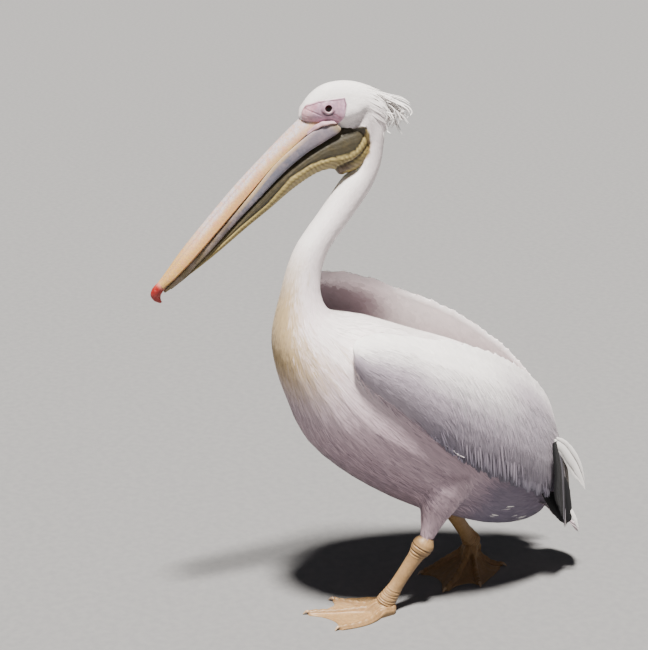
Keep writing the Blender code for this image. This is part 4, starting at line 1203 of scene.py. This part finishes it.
def relief(s, h):
    """The pouch's crease, roll and wrinkles: how far out they stand."""
    over, under = above(CREASE, s, h), above(FOLD, s, h)
    crease = -0.16 * hump(over, 0.16) - 0.22 * hump(under, 0.2) * smoothstep(3, 1.5, s)
    wrinkles = 0.035 * ripple(s, h) * smoothstep(0.0, -0.5, over) * smoothstep(12, 8, s)
    return crease + 0.18 * hump(over + 0.75, 0.45) + wrinkles


def sac_tint(s, h):
    """The pouch's colour: olive above the crease, a wrinkled yellow roll below and a brown stain at the neck,
    with painted shade in the crease, in the fold under the roll and over the stain.
    """
    over, under = above(CREASE, s, h), above(FOLD, s, h)
    stain = smoothstep(0.1, -0.3, under) * smoothstep(-1.8, 0.4, s) * smoothstep(-1.9, -1.2, under)
    # near black in the crease and in the fold under the roll is painted shade; the stain's dark brown is its
    # own colour deepened by painted shade
    return blend(
        [OLIVE_AND_SHADE, YELLOW, (0.14, 0.10, 0.03), (0.02, 0.014, 0.006), (0.05, 0.02, 0.006), (0.02, 0.009, 0.004),
         (0.40, 0.30, 0.12)],
        [smoothstep(0.08, -0.12, over), smoothstep(0.0, -0.4, over) * (0.35 * ripple(s, h) + 0.35),
         hump(over - 0.06, 0.1) * 0.8, stain * 0.9,
         hump(under, 0.16) * smoothstep(3, 1.5, s) * smoothstep(-7, -4, s), smoothstep(16, 30, s) * 0.4])


def bill_point(s, h, side):
    fwd = BILL_BASE[0] + s * math.cos(BILL_PITCH) + h * math.sin(BILL_PITCH)
    z = BILL_BASE[1] - s * math.sin(BILL_PITCH) + h * math.cos(BILL_PITCH)
    return place(fwd, side, z, HEAD_TURN)


def bill_tube(name, stations, sides, steps, shade, replaced, power, carve, tinted):
    """A tube along the bill. carve(s, h, u, o) gives how far each point is drawn out, in centimetres, and
    tinted(s, h, u, o) its colour, where u is -1 at the underside to 1 on top and o -1 to 1 across."""
    rows = curve_through([[*top, *low, wide, at] for top, low, wide, at in stations], steps)
    angle = np.linspace(0, 2 * math.pi, sides, endpoint=False)
    u = np.sign(np.cos(angle)) * np.abs(np.cos(angle)) ** (2 / power)
    o = np.sign(np.sin(angle)) * np.abs(np.sin(angle)) ** (2 / power)
    rings, tints = [], []
    for s1, h1, s0, h0, wide, at in rows:
        share = at + u * np.where(u > 0, 1 - at, at)
        s, h = s0 + (s1 - s0) * share, h0 + (h1 - h0) * share
        out = carve(s, h, u, o)
        rings.append([bill_point(a, b + c * math.cos(t), wide * d + c * math.sin(t))
                      for a, b, c, d, t in zip(s, h, out, o, angle)])
        tints.append(tinted(s, h, u, o))
    return tube(name, rings, tints, shade, replaced)


def blend(colours, amounts):
    """The first colour, with each later one laid over it by its amount."""
    found = np.asarray(colours[0], float) + np.zeros((len(amounts[0]), 3))
    for colour, amount in zip(colours[1:], amounts):
        found = found + (np.asarray(colour) - found) * np.clip(amount, 0, 1)[:, None]
    return found


def horn_shade(name, roughness, blotch, scale, amount=0.6, stretch=None, bumps=((90, 0.3, 0.0006),),
               soft=0.08, flecks=()):
    """Bare horn or skin: its tint, blotched with another colour, flecked with others, and finely uneven."""
    shade = Shade(name, roughness, Subsurface_Weight=soft, Subsurface_Scale=0.008)
    shade.shader.inputs["Subsurface Radius"].default_value = (1.0, 0.5, 0.3)
    tint = shade.attribute("tint", "Color")
    patch = shade.ramp(shade.noise(scale, 6, stretch), [(0.42, 0.0), (0.72, amount)])
    tint = shade.mix(patch, tint, blotch)
    for size, share, fleck in flecks:
        spots = shade.ramp(shade.noise(size, 5, rough=0.65), [(0.5, 0.0), (0.6, share)])
        tint = shade.mix(spots, tint, fleck)
    grain = shade.ramp(shade.noise(scale * 4, 5), [(0.3, 0.9), (0.7, 1.06)])
    shade.colour(shade.mix(1.0, tint, grain, "MULTIPLY"))
    span = [(0.3, max(0.05, roughness - 0.08)), (0.7, roughness + 0.1)]
    shade.rough(shade.ramp(shade.noise(scale * 1.5, 4), span))
    for size, strength, distance in bumps:
        shade.bump(shade.noise(size, 6, stretch), strength, distance)
    return shade


def build_upper_bill():
    horn = horn_shade("horn", 0.42, (0.60, 0.25, 0.14), 95, 0.55,
                      bumps=((60, 0.35, 0.0008), (260, 0.4, 0.0005)),
                      flecks=((230, 0.45, (0.40, 0.22, 0.18)), (330, 0.45, (0.66, 0.46, 0.17))))

    def carve(s, h, u, o):
        inner = smoothstep(-2, 4, s) * smoothstep(36, 30, s) * (u > 0)
        groove = -0.13 * hump(np.abs(o) - 0.5, 0.08) * inner
        ridge = 0.05 * hump(o, 0.2) * (u > 0)
        lip = 0.05 * hump(u + 0.12, 0.14) * smoothstep(2, 8, s)
        return groove + ridge + lip

    def tinted(s, h, u, o):
        wide = np.abs(o)
        top = smoothstep(0.3, 0.8, u)
        side = smoothstep(0.55, 0.8, wide)
        # the last colour, near black on the underside, is painted shade along the mouth line between the bill
        # and the jaw
        return blend(
            [(0.64, 0.40, 0.20), (0.45, 0.41, 0.48), (0.55, 0.50, 0.54), (0.60, 0.40, 0.15),
             (0.60, 0.24, 0.085), (0.62, 0.33, 0.11), (0.55, 0.32, 0.07), (0.26, 0.17, 0.19),
             (0.10, 0.05, 0.035)],
            [smoothstep(12, 0, s) * (0.3 + 0.7 * top), top * smoothstep(36, 20, s),
             side * smoothstep(0.35, 0.0, u) * smoothstep(-1, 4, s) * smoothstep(14, 8, s),
             side * smoothstep(0.3, -0.05, u) * smoothstep(8, 14, s) * smoothstep(34, 24, s),
             side * smoothstep(0.7, 0.3, u) * smoothstep(9, 18, s) * 0.8, smoothstep(23, 34, s) * 0.8,
             hump(wide - 0.5, 0.07) * (u > 0) * smoothstep(4, 10, s) * 0.5,
             smoothstep(-0.25, -0.5, u)])

    bill_tube("upper_bill", BILL_UPPER, 72, 14, horn, ["bill_upper"], 2.0, carve, tinted)
    nail = horn_shade("nail", 0.3, (0.58, 0.16, 0.12), 120, 0.4)
    bill_tube("bill_tip", NAIL, 36, 10, nail, ["bill_nail"], 2.0, lambda s, h, u, o: 0 * u,
              lambda s, h, u, o: blend([(0.28, 0.014, 0.012), (0.62, 0.26, 0.19)],
                                       [smoothstep(38.0, 37.1, s) * 0.8]))


def build_jaw():
    """The lower jaw's two bars, with rounded edges."""
    ramus = horn_shade("ramus", 0.45, (0.36, 0.28, 0.30), 55, 0.45,
                       bumps=((80, 0.35, 0.0008), (300, 0.25, 0.0003)))
    angle = np.linspace(0, 2 * math.pi, 32, endpoint=False)
    c, d = np.cos(angle), np.sin(angle)
    u, o = np.sign(c) * np.abs(c) ** 0.8, np.sign(d) * np.abs(d) ** 0.8
    for name, sign in SIDES:
        rings, tints = [], []
        for s, top, low, outer, thick in curve_through(JAW, 12):
            h = (top + low) / 2 + (top - low) / 2 * u
            out = outer - thick / 2 + thick / 2 * o
            rings.append([bill_point(s, a, sign * b) for a, b in zip(h, out)])
            along = s + 0 * h
            tints.append(blend(
                [(0.17, 0.165, 0.21), (0.45, 0.33, 0.20), (0.25, 0.20, 0.23), (0.30, 0.23, 0.14),
                 (0.08, 0.055, 0.045), (0.24, 0.18, 0.07)],
                [smoothstep(0.75, 0.4, top - h) * smoothstep(-3, 3, along), smoothstep(4.5, 0.0, along) * 0.7,
                 smoothstep(-2.6, -4.2, along), smoothstep(14, 22, along) * 0.75,
                 smoothstep(22, 32, along) * 0.6]))
        tube("ramus_" + name, rings, tints, ramus, ["jaw_" + name])


def build_pouch():
    sac = horn_shade("sac", 0.5, (0.10, 0.075, 0.032), 60, 0.35, (1, 1, 2),
                     ((45, 0.5, 0.0012), (190, 0.5, 0.0007)))

    def folds(s, h, u, o):
        pleats = 0.035 * np.sin(u * 30 + 0.35 * s) * smoothstep(0.9, 0.2, np.abs(u))
        return (relief(s, h) + pleats * smoothstep(-0.4, 0.4, above(CREASE, s, h))) * smoothstep(36, 28, s)

    bill_tube("gular_pouch", POUCH, 88, 20, sac, ["pouch"], 2.2, folds,
              lambda s, h, u, o: sac_tint(s, h))


def build_gape():
    """The fleshy corners of the mouth."""
    gape = horn_shade("gape", 0.5, (0.38, 0.22, 0.24), 110, 0.4,
                      bumps=((150, 0.4, 0.0005), (420, 0.3, 0.0003)))
    angle = np.linspace(0, 2 * math.pi, 24, endpoint=False)
    for name, sign in SIDES:
        rings, tints = [], []
        for t, (s, h, out, radius) in zip(np.linspace(0, 1, 49), curve_through(GAPE, 12)):
            grown = radius * (1 + 0.1 * math.sin(t * 22)) + 0.06 * np.cos(angle * 3)
            rings.append([bill_point(s, h + r * math.cos(a), sign * (out + r * math.sin(a)))
                          for a, r in zip(angle, grown)])
            high = np.cos(angle)
            tints.append(blend([(0.48, 0.29, 0.35), (0.52, 0.34, 0.34), (0.16, 0.08, 0.07)],
                               [smoothstep(0.5, -0.5, high), smoothstep(-0.75, -1.0, high) * 0.8]))
        tube("gape_" + name, rings, tints, gape)


def build_eyes():
    iris = Shade("eye", 0.03, IOR=1.3)
    reach = iris.attribute("reach")
    iris.colour(iris.ramp(reach, [(0.0, (0.002, 0.001, 0.001)), (0.28, (0.003, 0.001, 0.001)),
                                  (0.36, (0.012, 0.003, 0.003)), (0.54, (0.022, 0.005, 0.005)),
                                  (0.66, (0.004, 0.001, 0.002)), (0.8, (0.4, 0.3, 0.3))]))
    iris.rough(iris.ramp(iris.noise(300, 3), [(0.0, 0.02), (1.0, 0.05)]))
    iris.bump(iris.noise(900, 3), 0.02, 0.0001)
    for name, sign in SIDES:
        mesh = bpy.data.meshes.new("eyeball_" + name)
        work = bmesh.new()
        bmesh.ops.create_uvsphere(work, u_segments=48, v_segments=32, radius=0.95 * CM)
        middle = place(EYE[0], sign * (EYE[1] - 0.1), EYE[2], HEAD_TURN)
        out = (place(EYE[0], sign * (EYE[1] + 1), EYE[2], HEAD_TURN) - middle).normalized()
        turn = out.to_track_quat("Z", "Y")
        for vertex in work.verts:
            vertex.co = middle + turn @ vertex.co
        work.to_mesh(mesh)
        work.free()
        mesh.shade_smooth()
        points = arrays(mesh)[0] - np.array(middle)
        level = points @ np.array(out)
        beside = np.linalg.norm(points - level[:, None] * np.array(out), axis=1) * 100
        write_attribute(mesh, "reach", np.where(level > 0, beside, 1.0))
        piece("eyeball_" + name, mesh, iris, ["eye_" + name])


# ---------------------------------------------------------------- legs and feet

LEGS = {
    "left": dict(ankle=(4.3, 6.6, 13.5), joint=(11.6, 5.0, 2.1), turn=20.0, lift=0.0, side=1),
    "right": dict(ankle=(-7.6, -7.0, 14.0), joint=(-13.8, -7.9, 4.6), turn=41.0, lift=2.6, side=-1),
}
# The shank: share of its length, half its width, half its depth.
SHANK = [(-0.09, 0.9, 1.1), (-0.05, 1.3, 1.5), (0.02, 1.85, 2.05), (0.12, 1.75, 2.0), (0.22, 1.25, 1.6),
         (0.45, 1.05, 1.4), (0.7, 1.05, 1.4), (0.86, 1.25, 1.6), (0.97, 1.5, 1.8), (1.04, 1.5, 1.7),
         (1.1, 1.1, 1.2)]
# Creases round the shank: share of its length, depth, tilt fore and aft.
CREASES = [(0.075, 0.13, 0.02), (0.145, 0.12, 0.03), (0.185, 0.05, 0.04), (0.79, 0.025, 0.03),
           (0.835, 0.05, 0.05), (0.88, 0.045, 0.03), (0.925, 0.07, 0.05), (0.965, 0.05, 0.04),
           (1.01, 0.06, 0.03)]
SHANK_SIDES = 44
# The toes, from the hind one round: aim in degrees, length, half width, sideways bow.
TOES = [(-98.0, 6.4, 0.5, 0.0), (-29.0, 11.0, 0.6, 0.0), (0.0, 14.8, 0.7, 0.0), (36.0, 11.8, 0.7, 1.5)]
WEB_REACH = 0.8
TAN, BROWN, PALE = (0.27, 0.155, 0.06), (0.09, 0.04, 0.015), (0.37, 0.235, 0.115)


def build_shank(name, leg, shade):
    start, end = place(*leg["ankle"]), place(*leg["joint"])
    run = (end - start).normalized()
    across = Vector((1, 0, 0))
    across = (across - run * across.dot(run)).normalized()
    fore = run.cross(across)
    rings, tints = [], []
    angles = np.linspace(0, 2 * math.pi, SHANK_SIDES, endpoint=False)
    table = np.array(curve_through(SHANK, 8))
    for share in np.arange(-0.09, 1.1, 0.0055):
        wide, deep = (np.interp(share, table[:, 0], table[:, k]) for k in (1, 2))
        fine, dark = np.zeros(SHANK_SIDES), np.zeros(SHANK_SIDES)
        for at, depth, tilt in CREASES:
            line = (share - at - tilt * np.sin(angles + 0.7)) / 0.0085
            fine -= depth * hump(line, 1)
            dark = np.maximum(dark, hump(line, 1.1) * min(1, depth * 7))
            fine += 0.05 * hump(abs(line) - 2.4, 1)
        flute = 0.05 * np.cos(3 * angles + 0.6) * smoothstep(0.2, 0.35, share) * smoothstep(0.8, 0.65, share)
        middle = start.lerp(end, share)
        wide, deep = (wide + fine + flute) * CM, (deep + fine + flute) * CM
        rings.append([middle + across * (w * math.cos(a)) + fore * (d * math.sin(a))
                      for a, w, d in zip(angles, wide, deep)])
        tints.append(blend([TAN, PALE, BROWN], [0.25 + 0 * dark, dark * 0.85]))
    tube("leg_" + name, rings, tints, shade, ["shank_" + name])


def toe_directions(leg):
    found = []
    for angle, *_ in TOES:
        heading = math.radians(leg["turn"] - angle) * leg["side"]
        found.append(Vector((-math.sin(heading), -math.cos(heading), 0)))
    return found


def foot_keys(leg):
    """Across the foot: aim, reach, offset, bow, height at the joint and at the tip, and 1 on a toe."""
    aims, keys = toe_directions(leg), []
    for i, (aim, (_, length, half, bow)) in enumerate(zip(aims, TOES)):
        out = Vector((-aim.y, aim.x, 0)) * leg["side"]
        for step, height in ((-1, 0.3), (-0.55, 0.85), (0, 1.05), (0.55, 0.85), (1, 0.3)):
            keys.append([*aim, length - abs(step) * 0.45, *(out * (half * step)), *(out * bow),
                         1.9 * height, 0.85 * height, 1 - step * step])
        if i < len(TOES) - 1:
            other, swell = TOES[i + 1][1], out * (TOES[i + 1][3] * 0.5)
            for t in (0.2, 0.4, 0.6, 0.8):
                dip = 1 - (1 - WEB_REACH) * math.sin(math.pi * t) ** 0.7
                reach = (length + (other - length) * t) * dip
                keys.append([*aim.slerp(aims[i + 1], t), reach, 0, 0, 0, *swell, 0.75, 0.24, 0])
    return np.array(keys)


def build_foot(name, leg, shade):
    joint = place(leg["joint"][0], leg["joint"][1], 0.0)
    columns = curve_through(foot_keys(leg), 3)
    forward = toe_directions(leg)[2]
    across = Vector((-forward.y, forward.x, 0)) * leg["side"]
    count = len(columns)
    seat = np.linspace(-1, 1, count)
    toe = np.clip(columns[:, 12], 0, 1)
    rings, tints = [], []
    heel = [(0.0, a) for a in np.linspace(0.02, math.pi / 2, 8)[:-1]]
    shares = np.concatenate([np.linspace(0, 0.94, 64), np.linspace(0.95, 1.0, 9)])
    for share, round_ in heel + [(share, math.pi / 2) for share in shares]:
        lifted = leg["lift"] * max(0.0, 1 - share / 0.75) ** 1.4
        ease = min(1.0, share / 0.22)
        ending = math.sqrt(max(0.0, 1 - ((share - 0.95) / 0.05) ** 2)) if share > 0.95 else 1.0
        upper, lower, tint = [], [], []
        for i, c in enumerate(columns):
            aim, offset, bow = Vector(c[0:3]), Vector(c[4:7]), Vector(c[7:10])
            bunch = across * (1.6 * seat[i] * math.sin(round_)) - forward * (1.1 + 0.9 * math.cos(round_))
            sway = offset * ease + bow * math.sin(math.pi * share)
            at = joint + (bunch * (1 - ease) + sway + aim * (c[3] * share)) * CM
            height = c[11] + (c[10] - c[11]) * (1 - share) ** 2.6
            reach = c[3] * share
            pads = 0.07 * math.sin(reach * 4.4) * toe[i] * smoothstep(0.15, 0.3, share)
            pleat = 0.07 * math.sin(i * 1.35 + 1.6 * math.sin(share * 7)) * (1 - toe[i])
            dome = (2.1 + 5 * share) * math.sqrt(1 - 0.85 * seat[i] ** 2)
            height += pads + pleat * smoothstep(0.2, 0.5, share)
            height = max(height, dome * smoothstep(0.34, 0.1, share))
            height = min(height, dome + 6 * share) * ending
            sole = lifted + 0.7 * (1 - math.sin(round_))
            upper.append(at + Vector((0, 0, (sole + max(height * math.sin(round_), 0.02)) * CM)))
            lower.append(at + Vector((0, 0, sole * CM)))
            ring = max(0.0, math.sin(reach * 4.4 + math.pi)) ** 6 * toe[i]
            side = smoothstep(0.55, 0.15, toe[i]) * smoothstep(0.02, 0.15, toe[i])
            key = i * (len(TOES) * 9 - 4) / count  # the row of foot_keys that this column comes from
            pale = (1 - toe[i]) * (1.0 if 5 <= key < 23 else 0.35)  # the two inner webs are the paler
            tint.append(blend([TAN, PALE, BROWN, (0.40, 0.22, 0.10)],
                              [np.array([pale * 0.5]), np.array([ring * 0.3]), np.array([side * 0.55])])[0])
        rings.append(upper + lower[::-1])
        tints.append(tint + tint[::-1])
    rings, tints = np.array([[tuple(p) for p in r] for r in rings]), np.array(tints)
    rings[-1, count:] = rings[-1, :count][::-1] - np.array((0, 0, 0.0001))
    tube("webbed_foot_" + name, rings, tints, shade, ["foot_" + name], caps=False)


def build_claws(name, leg, shade):
    joint = place(leg["joint"][0], leg["joint"][1], 0.0)
    for toe, aim, (_, length, *_) in zip(("hallux", "inner", "middle", "outer"), toe_directions(leg), TOES):
        across = Vector((-aim.y, aim.x, 0))
        rings, tints = [], []
        for t in np.linspace(0, 1, 22):
            radius = 0.40 * (1 - t) ** 0.45 + 0.02
            height = 0.42 + 0.22 * math.sin(math.pi * min(1, t * 1.1)) - 0.3 * t * t
            middle = joint + aim * ((length - 0.45 + t * 1.3) * CM)
            middle.z = max(height, radius * 0.8 + 0.01) * CM
            wide, high = radius * 0.85 * CM, radius * 0.8 * CM
            rings.append([middle + across * (wide * math.cos(a)) + Vector((0, 0, high * math.sin(a)))
                          for a in np.linspace(0, 2 * math.pi, 20, endpoint=False)])
            tints.append(blend([(0.36, 0.22, 0.11), (0.46, 0.34, 0.22)], [np.full(20, t)]))
        tube(f"nail_{name}_{toe}", rings, tints, shade, [f"claw_{name}_{toe}"])


def build_legs():
    skin = horn_shade("leg", 0.5, (0.36, 0.225, 0.105), 60, 0.45, soft=0.1,
                      bumps=((120, 0.4, 0.0006), (420, 0.35, 0.0004)))
    skin.bump(skin.cells(380), 0.35, 0.0005)
    claw = horn_shade("claw", 0.35, (0.30, 0.17, 0.08), 150, 0.5)
    for name, leg in LEGS.items():
        build_shank(name, leg, skin)
        build_foot(name, leg, skin)
        build_claws(name, leg, claw)


build_camera()
build_light()
build_floor()
skin = Skin()
skin.finish()
build_coats(skin)
build_flight()
build_crest()
build_upper_bill()
build_jaw()
build_pouch()
build_gape()
build_eyes()
build_legs()
